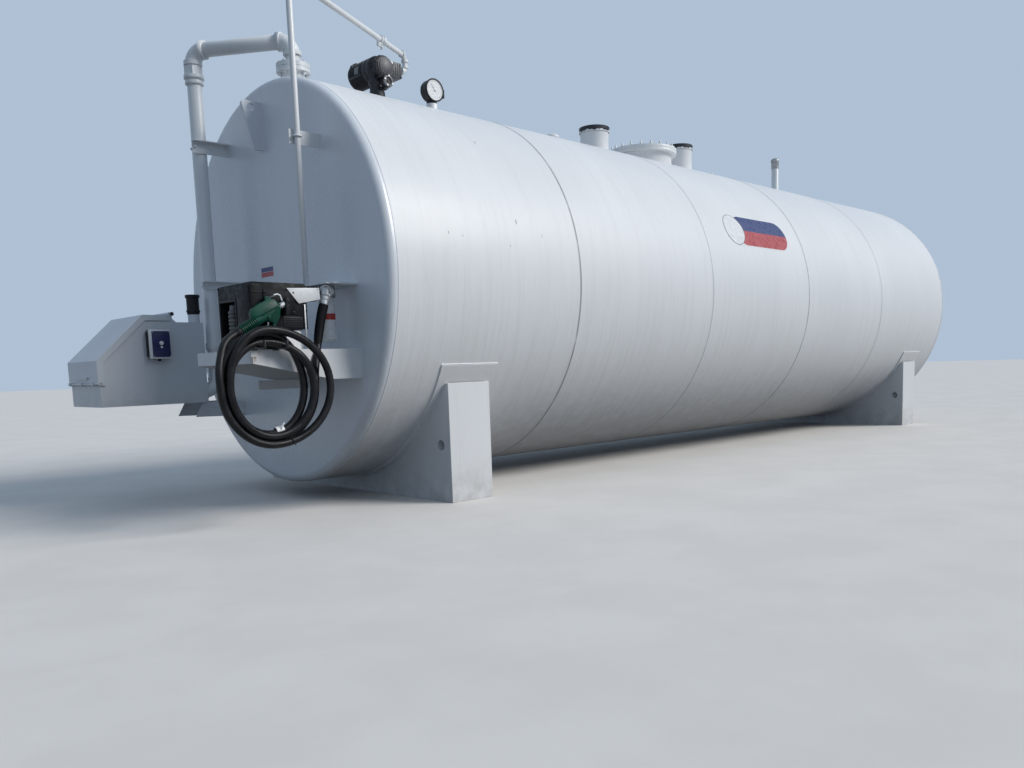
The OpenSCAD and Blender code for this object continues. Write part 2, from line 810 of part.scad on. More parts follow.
module vent_riser_cap() {
  color(grey) at_top(riser_x) translate([0, 0, tank_r + riser_h - riser_cap_h]) {
    cylinder(h = riser_cap_h - 14, d = riser_d + 6);
    translate([0, 0, riser_cap_h - 40]) cylinder(h = 26, d = riser_d + 14);
    translate([0, 0, riser_cap_h - 14]) cylinder(h = 14, d1 = riser_d + 14, d2 = riser_d - 20);
  }
}

module shelf_wall(y) {
  side_slice(y, shelf_t) polygon([[-shelf_len, shelf_z], [0, shelf_z], [0, shelf_z - shelf_side],
    [-shelf_deep, shelf_z - shelf_side], [-shelf_len, shelf_z - shelf_lip]]);
}

module shelf() {
  color(white) at_head() {
    translate([-shelf_len, -shelf_y, shelf_z - shelf_t]) cube([shelf_len, shelf_w, shelf_t]);
    translate([-shelf_len, -shelf_y, shelf_z - shelf_lip]) cube([shelf_t, shelf_w, shelf_lip]);
    shelf_wall(-shelf_y);
    shelf_wall(-shelf_y + shelf_w - shelf_t);
  }
}

module shelf_arm() {
  color(white) at_head() translate([-arm_len, -shelf_y + shelf_w - arm_leg, 0]) {
    translate([0, 0, shelf_z - shelf_side - bracket_t]) cube([arm_len, arm_leg, bracket_t]);
    translate([0, 0, shelf_z - shelf_side - arm_leg]) cube([arm_len, bracket_t, arm_leg]);
  }
}

cab_x = -shelf_len + cab_front;
cab_y = -shelf_y + cab_side;
win_y = 175;
win_w = 175;
win_z = 74;
win_h = 178;
win_d = 66;

module cabinet() {
  color(black) at_head() translate([cab_x, cab_y, shelf_z]) difference() {
    side_slice(0, cab_w) polygon([[0, 0], [150, 0], [162, 105], [cab_len, 105], [cab_len, cab_h - 10],
      [cab_len - 10, cab_h], [10, cab_h], [0, cab_h - 10]]);
    translate([-1, win_y, win_z]) cube([win_d + 1, win_w, win_h]);
  }
}

module meter() {
  color(grey) at_head() translate([cab_x + 34, cab_y + win_y + win_w / 2, shelf_z + win_z])
    rotate_extrude() polygon(concat([[0, 0], [30, 0], [30, 8], [22, 12], [22, 18]],
      [for (i = [0:5]) for (p = [[31, 20], [31, 32], [26, 35], [26, 39]]) p + [0, i * 20]],
      [[22, 140], [22, win_h - 14], [14, win_h - 8], [0, win_h - 8]]));
}

nozzle_tip = [-435, -922, -174];
nozzle_end = [-715, -922, -334];
nozzle_len = norm(nozzle_end - nozzle_tip);
nozzle_tilt = atan2(160, 280);
nozzle_d = 52;
spout_d = 24;

// Moves to the tip of the parked nozzle's spout, with the nozzle along -X.
module at_nozzle() {
  at_head() translate(nozzle_tip) rotate([0, -nozzle_tilt, 0]) children();
}

module nozzle_rest() {
  color(black) {
    at_head() translate([-545, cab_y - 5, -232]) cube([175, 5, 118]);
    difference() {
      at_head() translate([-478, cab_y - 52, -240]) cube([40, 50, 60]);
      at_nozzle() translate([-80, 0, 0]) along_x() cylinder(h = 120, d = spout_d + 0.6);
      at_nozzle() translate([-80, -spout_d / 2 - 0.3, 0]) cube([120, spout_d + 0.6, 80]);
      at_nozzle() translate([-100, -40, -40]) cube([40.3, 80, 80]);
    }
  }
}

module nozzle() {
  color([0.05, 0.32, 0.2]) at_nozzle() {
    rotate([0, -90, 0]) {
      cylinder(h = 62, d = spout_d);
      translate([0, 0, 62]) cylinder(h = 16, d = 40);
      translate([0, 0, 76]) cylinder(h = 26, d1 = 44, d2 = nozzle_d);
      translate([0, 0, 102]) cylinder(h = 78, d = nozzle_d);
      translate([0, 0, 180]) cylinder(h = 30, d1 = nozzle_d, d2 = 42);
      translate([0, 0, 210]) cylinder(h = nozzle_len - 212, d = 42);
      translate([0, 0, nozzle_len - 26]) cylinder(h = 26, d = 48);
    }
    translate([0, 15, 0]) rotate([90, 0, 0]) linear_extrude(height = 30) difference() {
      polygon([[-84, 0], [-96, -76], [-150, -96], [-262, -60], [-270, -10], [-180, 0]]);
      polygon([[-112, -36], [-116, -66], [-152, -80], [-246, -50], [-250, -34]]);
    }
  }
}

coil_x = -570;
coil_z = -600;
coil_r = 300;
coil_in = 212;
coil_y = 950;
coil_w = 80;
hook_dx = 60;
hook_d = 14;

module hose_hooks() {
  hz = coil_z + sqrt(pow(coil_in - 0.3 - hook_d / 2, 2) - pow(hook_dx, 2));
  color(grey) at_head() for (s = [-1, 1])
    translate([coil_x + s * hook_dx, -shelf_y, hz]) {
      rotate([90, 0, 0]) cylinder(h = coil_y + coil_w - shelf_y + 11, d = hook_d, $fn = 32);
      translate([0, -(coil_y + coil_w - shelf_y + 11), -hook_d / 2])
        cylinder(h = 40, d = hook_d, $fn = 32);
      translate([-18, -4, -44]) cube([36, 4, 46]);
    }
}

filter_x = -105;
filter_y = -760;
head_h = 62;

module filter_head() {
  color(grey) at_head() translate([0, 0, prod_plate_z - head_h]) {
    translate([filter_x, filter_y, 0]) cylinder(h = head_h, d = filter_d + 8);
    translate([-prod_off, -prod_y, 0]) cylinder(h = head_h, d = 54);
    rod([-prod_off, -prod_y, head_h / 2], [filter_x, filter_y, head_h / 2], 36);
  }
  color(grey) at_head() rod([filter_x, filter_y, swivel_z], filter_port, 36);
}

module filter() {
  color(white) at_head() translate([filter_x, filter_y, prod_plate_z - head_h - filter_len])
    rotate_extrude($fn = 96) polygon([[0, 0], [filter_d / 2 - 14, 0], [filter_d / 2 - 4, 4],
      [filter_d / 2, 14], [filter_d / 2, filter_len - 16], [filter_d / 2 - 4, filter_len - 6],
      [filter_d / 2 - 12, filter_len], [0, filter_len]]);
}

swivel_z = prod_plate_z - head_h / 2;

module hose_swivel() {
  color(grey) at_head() {
    rod(filter_port, ferrule, 42);
    translate(ferrule) sphere(d = 50);
    rod(ferrule, lead[0], 44);
  }
}

// Hose, as round points chosen along its route.
lead = [[-160, -890, -140], [-185, -894, -168], [-220, -902, -208], [-250, -912, -252],
  [-275, -924, -300], [-292, -938, -350], [-304, -952, -400], [-312, -958, -450]];
tail = [[-715, -922, -334], [-743, -922, -350], [-775, -924, -376], [-802, -930, -412],
  [-818, -938, -456], [-826, -950, -500]];

function unit(v) = v / norm(v);

// Rings of a tube swept along points, each square to the route.
function ring(p, i, d, n) =
  let (a = p[max(i - 1, 0)], b = p[min(i + 1, len(p) - 1)], t = unit(b - a))
  let (u = unit(cross(t, [0.1, 1, 0.2])), v = cross(t, u))
  [for (k = [0:n - 1]) p[i] + d / 2 * (cos(360 * k / n) * u + sin(360 * k / n) * v)];

filter_mid = [filter_x, filter_y, swivel_z];
ferrule = lead[0] - 46 * unit(lead[1] - lead[0]);
filter_port = filter_mid + 0.62 * (ferrule - filter_mid);

module tube(p, d, n = 10) {
  m = len(p);
  polyhedron(
    points = [for (i = [0:m - 1]) for (q = ring(p, i, d, n)) q],
    faces = concat(
      [[for (k = [0:n - 1]) k]],
      [for (i = [0:m - 2]) for (k = [0:n - 1])
        [i * n + k, (i + 1) * n + k, (i + 1) * n + (k + 1) % n]],
      [for (i = [0:m - 2]) for (k = [0:n - 1])
        [i * n + k, (i + 1) * n + (k + 1) % n, i * n + (k + 1) % n]],
      [[for (k = [0:n - 1]) m * n - 1 - k]]));
}

module hose_lead() {
  color(black) at_head() tube(lead, hose_d);
}

module hose_tail() {
  color(black) at_head() tube(tail, hose_d);
}

module hose_coil() {
  color(black) at_head() translate([coil_x, -coil_y, coil_z]) rotate([90, 0, 0])
    rotate_extrude($fn = 96) translate([coil_in, 0]) square([coil_r - coil_in, coil_w]);
}

shell();
near_head();
far_head();
near_saddle();
far_saddle();
near_wear_plate();
far_wear_plate();
near_lug();
far_lug();
fill_flange();
fill_top_elbow();
fill_cross_pipe();
fill_side_elbow();
fill_union();
fill_drop_pipe();
fill_brackets();
fill_box();
fill_box_lid();
fill_box_support();
alarm_box();
fill_box_cap();
product_pipe();
product_elbow();
product_run();
line_union();
pump_elbow();
product_brackets();
pump_body();
pump_motor();
gauge_neck();
gauge();
small_cap();
vent_a();
vent_b();
manway_neck();
manway_cover();
top_plug();
vent_riser();
vent_riser_cap();
shelf();
shelf_arm();
cabinet();
meter();
nozzle_rest();
hose_hooks();
filter_head();
filter();
hose_swivel();
hose_lead();
hose_tail();
hose_coil();
nozzle();
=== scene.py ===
"""Aboveground horizontal fuel tank with a fill box and a dispenser, dressed on the solids of its frame."""
import math

import bpy
from mathutils import Matrix, Vector


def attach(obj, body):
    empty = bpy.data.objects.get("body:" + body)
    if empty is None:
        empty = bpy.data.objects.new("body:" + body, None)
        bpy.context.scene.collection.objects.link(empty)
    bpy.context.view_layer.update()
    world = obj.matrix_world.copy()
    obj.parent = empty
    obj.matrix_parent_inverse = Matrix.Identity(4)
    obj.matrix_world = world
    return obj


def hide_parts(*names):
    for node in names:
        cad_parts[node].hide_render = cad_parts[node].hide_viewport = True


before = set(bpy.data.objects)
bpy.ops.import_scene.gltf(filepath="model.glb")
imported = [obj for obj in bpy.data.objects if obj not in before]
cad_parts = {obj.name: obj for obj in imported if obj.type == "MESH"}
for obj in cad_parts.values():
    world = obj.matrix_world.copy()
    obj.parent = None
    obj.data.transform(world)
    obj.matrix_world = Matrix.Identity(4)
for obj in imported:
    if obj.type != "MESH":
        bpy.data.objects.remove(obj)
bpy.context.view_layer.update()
scene = bpy.context.scene
bpy.ops.object.select_all(action="DESELECT")

# Pieces are drawn in millimetres from the near head's face (X) and the tank's axis (Y, Z).
HEAD_TO_ORIGIN = 620  # from the near head's face to the frame's origin
AXIS_HEIGHT = 1320  # from the floor to the tank's axis
SHELL_R = 1220  # outside of the shell
SADDLES = (620, 7020)  # middle of each saddle
deg = math.radians


def at(x, y, z):
    """Millimetres from the near head's face and the tank's axis, to the frame's metres."""
    return Vector(((x - HEAD_TO_ORIGIN) / 1000, y / 1000, (z + AXIS_HEIGHT) / 1000))


def facing(direction):
    """Turns an upright part so that its Z points in a direction."""
    return Vector(direction).to_track_quat("Z", "Y").to_matrix().to_4x4()


# -------------------------------- camera
cam = bpy.data.objects.new("camera", bpy.data.cameras.new("camera"))
scene.collection.objects.link(cam)
right = Vector((0.710084, -0.703419, -0.031352))
down = Vector((-0.103059, -0.059782, -0.992877))
ahead = Vector((0.696534, 0.708257, -0.114944))
cam.matrix_world = Matrix((right, -down, -ahead)).transposed().to_4x4()
cam.location = at(-2649.5, -4950.6, -535.3)
cam.data.sensor_width = 36
cam.data.lens = 30.0
cam.data.shift_x = -0.0232
cam.data.shift_y = 0.0785
cam.data.clip_start, cam.data.clip_end = 0.1, 400
scene.camera = cam
scene.view_settings.view_transform = "Standard"


# -------------------------------- finishes
EVEN = (1, 1, 1)  # a pattern that isn't stretched


class Finish:
    """A material on Object coordinates, built up from worn patches, runs and a fine skin."""

    def __init__(self, name, rough=0.4, metal=0.0, coat=0.0, coat_rough=0.1):
        self.material = bpy.data.materials.new(name)
        self.material.use_nodes = True
        self.nodes, self.links = self.material.node_tree.nodes, self.material.node_tree.links
        self.surface = self.nodes["Principled BSDF"]
        self.put("Roughness", rough)
        self.put("Metallic", metal)
        self.put("Coat Weight", coat)
        self.put("Coat Roughness", coat_rough)
        self.place = self.nodes.new("ShaderNodeTexCoord").outputs["Object"]

    def put(self, key, value):
        self.surface.inputs[key].default_value = value

    def node(self, kind, **values):
        n = self.nodes.new("ShaderNode" + kind)
        for key, value in values.items():
            setattr(n, key, value)
        return n

    def noise(self, scale, stretch=EVEN, detail=4, rough=0.55, lo=0.35, hi=0.65):
        """Noise from 0 to 1, stretched along the axes, with its contrast raised."""
        mapping = self.node("Mapping")
        mapping.inputs["Scale"].default_value = stretch
        self.links.new(self.place, mapping.inputs[0])
        cloud = self.node("TexNoise")
        cloud.inputs["Scale"].default_value = scale
        cloud.inputs["Detail"].default_value = detail
        cloud.inputs["Roughness"].default_value = rough
        self.links.new(mapping.outputs[0], cloud.inputs["Vector"])
        return self.ramp(cloud.outputs["Fac"], lo, hi)

    def ramp(self, value, lo, hi, to_lo=0.0, to_hi=1.0):
        """A smooth step from to_lo to to_hi, while the value goes from lo to hi."""
        step = self.node("MapRange", interpolation_type="SMOOTHSTEP")
        for key, end in zip(("From Min", "From Max", "To Min", "To Max"), (lo, hi, to_lo, to_hi)):
            step.inputs[key].default_value = end
        self.links.new(value, step.inputs["Value"])
        return step.outputs[0]

    def axis(self, i):
        split = self.node("SeparateXYZ")
        self.links.new(self.place, split.inputs[0])
        return split.outputs[i]

    def math(self, operation, a, b=0.0):
        n = self.node("Math", operation=operation)
        for i, v in enumerate((a, b)):
            if isinstance(v, (int, float)):
                n.inputs[i].default_value = v
            else:
                self.links.new(v, n.inputs[i])
        return n.outputs[0]

    def times(self, a, b):
        return self.math("MULTIPLY", a, b)

    def spot(self, centre, full, edge, squash=EVEN):
        """1 within full of a point, 0 beyond edge."""
        mapping = self.node("Mapping", vector_type="POINT")
        mapping.inputs["Location"].default_value = [-a * b for a, b in zip(centre, squash)]
        mapping.inputs["Scale"].default_value = squash
        self.links.new(self.place, mapping.inputs[0])
        away = self.node("VectorMath", operation="LENGTH")
        self.links.new(mapping.outputs[0], away.inputs[0])
        return self.ramp(away.outputs["Value"], full, edge, 1, 0)

    def mix(self, a, b, share):
        """Colour a, with a share of colour b over it."""
        n = self.node("Mix", data_type="RGBA", clamp_factor=True)
        for i, colour in ((6, a), (7, b)):
            if isinstance(colour, tuple):
                n.inputs[i].default_value = (*colour, 1)
            else:
                self.links.new(colour, n.inputs[i])
        self.links.new(share, n.inputs[0])
        return n.outputs[2]

    def colour(self, c):
        self.links.new(c, self.surface.inputs["Base Color"])
        return self

    def coloured(self):
        """The colour as it is so far."""
        return self.surface.inputs["Base Color"].links[0].from_socket

    def rough(self, share, lo, hi):
        self.links.new(self.ramp(share, 0, 1, lo, hi), self.surface.inputs["Roughness"])
        return self

    def bump(self, *pairs):
        """Height sources with their depths in metres, the first one the broadest."""
        last = None
        for height, depth in pairs:
            n = self.node("Bump")
            n.inputs["Strength"].default_value = 1
            n.inputs["Distance"].default_value = depth
            self.links.new(height, n.inputs["Height"])
            if last:
                self.links.new(last, n.inputs["Normal"])
            last = n.outputs[0]
        self.links.new(last, self.surface.inputs["Normal"])
        return self


def paint(name, base, dirt=(0.42, 0.40, 0.36), amount=0.35, streak=(1, 1, 0.12), low=None, coat=0.25,
          rough=(0.28, 0.46), skin=1.0):
    """Sprayed enamel with faint runs, dust and an orange-peel skin.

    low gives the heights between which dirt fades out upwards, and how much there is of it.
    """
    f = Finish(name, coat=coat, coat_rough=0.3)
    broad = f.noise(1.3, (1, 1, 0.6), 3, 0.5, 0.3, 0.7)
    runs = f.noise(9, streak, 5, 0.6, 0.42, 0.68)
    fine = f.noise(140, EVEN, 3, 0.6, 0.3, 0.7)
    c = f.mix(tuple(v * 0.955 for v in base), base, broad)
    c = f.mix(c, tuple(v * 0.93 for v in base), f.times(runs, 0.55))
    dust = f.times(f.noise(26, (1, 1, 0.35), 6, 0.7, 0.56, 0.86), amount)
    c = f.mix(c, dirt, dust)
    if low:
        foot, top, much = low
        edge = f.ramp(f.axis(2), foot, top, 1, 0)
        c = f.mix(c, dirt, f.times(edge, f.times(f.noise(11, EVEN, 6, 0.7, 0.3, 0.7), much)))
    f.colour(c).rough(f.math("ADD", f.times(broad, 0.5), f.times(fine, 0.5)), *rough)
    return f.bump((runs, 0.0008 * skin), (fine, 0.00012 * skin))


def worn(name, dark, light, rough=(0.3, 0.5), metal=0.0, scale=30, grain=0.0002, dust=None, coat=0.0):
    """Two tones worn into each other, with a fine skin."""
    f = Finish(name, metal=metal, coat=coat)
    patches = f.noise(scale, EVEN, 5, 0.6, 0.3, 0.7)
    skin = f.noise(220, EVEN, 3, 0.6, 0.3, 0.7)
    c = f.mix(dark, light, patches)
    if dust:
        c = f.mix(c, dust, f.times(f.noise(18, (1, 1, 0.5), 6, 0.7, 0.5, 0.85), 0.35))
    return f.colour(c).rough(patches, *rough).bump((skin, grain))


# The shell's scuffs, with their places and radii in metres, and the painted shade line in front of each round
# seam, where its lap casts a thin shadow.
SCUFFS = (((0.34, -1.18, 1.64), 0.02), ((0.54, -1.19, 1.57), 0.015), ((0.28, -0.9, 2.14), 0.016),
          ((0.26, -1.21, 1.49), 0.012), ((-0.2, -1.2, 1.53), 0.012), ((-0.1, -1.2, 1.52), 0.01),
          ((0.45, -1.22, 1.45), 0.01))
# The dark line before each seam is painted shade, for the thin shadow of the seam's lap.
SEAM_SHADE_LINES = ((0.865, 0.75), (2.365, 0.22), (3.865, 0.55), (5.365, 0.3))  # place, and how dark its line is
SHADE_LINE_AHEAD, SHADE_LINE_CORE, SHADE_LINE_EDGE = 0.009, 0.002, 0.009  # metres
shell_paint = paint("shell_paint", (0.80, 0.815, 0.83), amount=0.14, streak=(2.2, 0.16, 0.16),
                    low=(0.25, 0.9, 0.3), coat=0.12, rough=(0.40, 0.54))
shell_paint.put("Coat Roughness", 0.2)
c = shell_paint.coloured()
for place, r in SCUFFS:
    scratches = shell_paint.noise(70, (1, 1, 0.5), 5, 0.7, 0.3, 0.5)
    scuff = shell_paint.times(shell_paint.spot(place, 0.25 * r, r, (2.2, 1, 0.8)), scratches)
    c = shell_paint.mix(c, (0.16, 0.14, 0.13), shell_paint.times(scuff, 0.8))
x = shell_paint.axis(0)
# Paints the shade line just before each round seam.
for seam, depth in SEAM_SHADE_LINES:
    away = shell_paint.math("ABSOLUTE", shell_paint.math("SUBTRACT", x, seam - SHADE_LINE_AHEAD))
    broken = shell_paint.times(shell_paint.noise(7, EVEN, 4, 0.6, 0.1, 0.6), depth)
    line = shell_paint.times(shell_paint.ramp(away, SHADE_LINE_CORE, SHADE_LINE_EDGE, 1, 0), broken)
    c = shell_paint.mix(c, (0.17, 0.17, 0.18), line)
shell_paint.colour(c)
# The heads' white is painted bluer and darker than the shell's: painted shade, for the blue shade the near head
# stands in.
head_paint = paint("head_paint", (0.74, 0.775, 0.82), amount=0.12, streak=(1, 1.2, 0.14), rough=(0.22, 0.4),
                   coat=0.4)
pipe_paint = paint("pipe_paint", (0.80, 0.815, 0.82), amount=0.3, skin=0.35)
trim_paint = paint("trim_paint", (0.78, 0.80, 0.81), amount=0.35, skin=0.35)
saddle_paint = paint("saddle_paint", (0.79, 0.80, 0.81), amount=0.3, low=(0.0, 0.3, 0.5))
# The fill box's paint is painted darker and bluer: painted shade, for the shade the box stands in beside the
# near head. Its dirt near the foot is real.
box_paint = paint("box_paint", (0.66, 0.69, 0.725), amount=0.25, low=(0.6, 0.75, 0.35))
shelf_paint = paint("shelf_paint", (0.75, 0.765, 0.77), amount=0.4)
# A run of rust by the shelf's corner.
corner = shelf_paint.spot(at(-634, -921, -425), 0.0, 0.05, (1, 1, 0.55))
rust = shelf_paint.times(corner, shelf_paint.noise(45, (1, 1, 0.25), 6, 0.7, 0.4, 0.6))
shelf_paint.colour(shelf_paint.mix(shelf_paint.coloured(), (0.28, 0.11, 0.045), rust))
pump_paint = worn("pump_paint", (0.012, 0.013, 0.017), (0.03, 0.032, 0.038), (0.32, 0.5),
                  dust=(0.12, 0.12, 0.12), grain=0.0004)
cover_grey = worn("cover_grey", (0.06, 0.062, 0.068), (0.10, 0.102, 0.11), (0.35, 0.5), grain=0.0003)
case_paint = worn("case_paint", (0.004, 0.005, 0.006), (0.008, 0.009, 0.011), (0.36, 0.55),
                  dust=(0.022, 0.023, 0.025), grain=0.0002)
black_plastic = worn("black_plastic", (0.01, 0.01, 0.012), (0.02, 0.02, 0.024), (0.38, 0.55))
rubber = worn("rubber", (0.006, 0.006, 0.007), (0.016, 0.016, 0.018), (0.26, 0.42), dust=(0.03, 0.03, 0.032),
              grain=0.0002, scale=12)
zinc_steel = worn("zinc_steel", (0.26, 0.27, 0.28), (0.46, 0.47, 0.48), (0.34, 0.55), 0.9, 40, grain=0.0002)
cast_aluminium = worn("cast_aluminium", (0.34, 0.35, 0.36), (0.52, 0.53, 0.54), (0.38, 0.6), 0.85, 60,
                      grain=0.0005)
rubber_sleeve = worn("rubber_sleeve", (0.004, 0.004, 0.005), (0.01, 0.01, 0.011), (0.42, 0.6), grain=0.0002,
                     scale=18)
# The meter's metal is painted dark: painted shade, for the shade inside the cabinet's window.
meter_metal_darkened_for_shade = worn("meter_metal_darkened_for_shade", (0.05, 0.052, 0.056), (0.16, 0.165, 0.17), (0.35, 0.55), 0.5, 50)
green_grip = worn("green_grip", (0.002, 0.042, 0.026), (0.004, 0.07, 0.043), (0.3, 0.48),
                  dust=(0.012, 0.08, 0.052))
blue_enamel = worn("blue_enamel", (0.003, 0.006, 0.06), (0.006, 0.010, 0.09), (0.3, 0.5))
brown_rim = worn("brown_rim", (0.18, 0.15, 0.12), (0.3, 0.26, 0.22), (0.4, 0.6))
red_band = worn("red_band", (0.42, 0.02, 0.015), (0.55, 0.035, 0.025), (0.3, 0.45))
# The filter's enamel is painted brighter than the other whites: painted light, for the sunlight that falls on
# the can.
filter_enamel_painted_bright = worn("filter_enamel_painted_bright", (0.84, 0.84, 0.83), (0.88, 0.88, 0.87), (0.2, 0.35), coat=0.4)
dial_white = worn("dial_white", (0.8, 0.8, 0.79), (0.87, 0.87, 0.86), (0.25, 0.35), grain=0.00005)
label_white = worn("label_white", (0.79, 0.80, 0.81), (0.83, 0.835, 0.84), (0.25, 0.4), grain=0.00005)
worn_plate = worn("worn_plate", (0.08, 0.085, 0.09), (0.2, 0.205, 0.21), (0.35, 0.55))
vent_rubber = worn("vent_rubber", (0.02, 0.022, 0.026), (0.05, 0.054, 0.062), (0.4, 0.6), scale=14)
ink = worn("ink", (0.10, 0.10, 0.11), (0.14, 0.14, 0.15))
label_navy = worn("label_navy", (0.025, 0.045, 0.17), (0.03, 0.05, 0.185), (0.25, 0.4), grain=0.00005)
label_red = worn("label_red", (0.45, 0.055, 0.06), (0.48, 0.065, 0.07), (0.25, 0.4), grain=0.00005)
# The hooks' rubber ends where their painted feet begin, at the shelf's top edge.
FEET_TOP = 0.901  # metres above the floor
hook_paint = paint("hook_paint", (0.75, 0.765, 0.77), amount=0.4, coat=0.05)
dipped = hook_paint.ramp(hook_paint.axis(2), FEET_TOP, FEET_TOP + 0.003)
hook_paint.colour(hook_paint.mix(hook_paint.coloured(), (0.006, 0.006, 0.007), dipped))
# Dull blacks and green mirror little of the pale floor.
for look, shine in ((case_paint, 0.13), (black_plastic, 0.2), (rubber, 0.2), (rubber_sleeve, 0.12),
                    (pump_paint, 0.3), (vent_rubber, 0.3), (green_grip, 0.25)):
    look.put("Specular IOR Level", shine)
box_paint.put("Coat Weight", 0.08)
clear_glass = Finish("clear_glass")
clear_glass.put("Base Color", (0.9, 0.93, 0.95, 1))
clear_glass.put("Alpha", 0.16)
clear_glass.rough(clear_glass.noise(20, EVEN, 4, 0.6), 0.03, 0.14)


# -------------------------------- modelling tools
DOUBLES = 0.002  # points nearer to each other than this are one, in millimetres


def clear():
    """Object mode with nothing selected."""
    if bpy.context.mode != "OBJECT":
        bpy.ops.object.mode_set(mode="OBJECT")
    bpy.ops.object.select_all(action="DESELECT")


def edit():
    bpy.ops.object.mode_set(mode="EDIT")
    bpy.ops.mesh.select_mode(type="VERT")


def everything():
    bpy.ops.mesh.select_all(action="SELECT")


def close_up():
    """Merges doubles, points every face outwards and leaves edit mode."""
    everything()
    bpy.ops.mesh.remove_doubles(threshold=DOUBLES)
    bpy.ops.mesh.normals_make_consistent(inside=False)
    bpy.ops.object.mode_set(mode="OBJECT")
    return bpy.context.object


def trace(points):
    """In edit mode: a chain of edges, extruded from point to point."""
    bpy.ops.mesh.select_all(action="DESELECT")
    bpy.ops.mesh.primitive_plane_add(size=1, location=points[0])
    bpy.ops.mesh.merge(type="CENTER")
    for a, b in zip(points, points[1:]):
        step = [q - p for p, q in zip(a, b)]
        bpy.ops.mesh.extrude_vertices_move(TRANSFORM_OT_translate={"value": step})


def start(points):
    """The same chain as a new object at the origin."""
    clear()
    bpy.ops.mesh.primitive_plane_add(size=1, location=(0, 0, 0))
    edit()
    bpy.ops.mesh.delete(type="VERT")
    trace(points)


def turned(profile, sides=48):
    """A ring, extruded and scaled along a profile of (radius, height) on the Z axis.

    A profile that starts or ends on the axis is closed there.
    """
    clear()
    rim = [q for q in profile if q[0] > 0]
    (r, h), solid = rim[0], profile[0][0] == 0
    bpy.ops.mesh.primitive_circle_add(vertices=sides, radius=r, location=(0, 0, h),
                                      fill_type="NGON" if solid else "NOTHING")
    bpy.ops.object.transform_apply(location=True, rotation=True, scale=True)
    edit()
    for next_r, next_h in rim[1:]:
        bpy.ops.mesh.extrude_region_move(TRANSFORM_OT_translate={"value": (0, 0, next_h - h)})
        if next_r != r:
            bpy.ops.transform.resize(value=(next_r / r, next_r / r, 1), center_override=(0, 0, next_h))
        r, h = next_r, next_h
    tip_r, tip_h = profile[-1]
    if tip_r == 0:
        if not solid:
            bpy.ops.mesh.edge_face_add()
        if tip_h != h:
            bpy.ops.mesh.poke(offset=0)
            bpy.ops.mesh.select_all(action="DESELECT")
            bpy.ops.object.mode_set(mode="OBJECT")
            bpy.context.object.data.vertices[-1].select = True
            edit()
            bpy.ops.transform.translate(value=(0, 0, tip_h - h))
    elif solid:
        bpy.ops.mesh.delete(type="ONLY_FACE")
    return close_up()


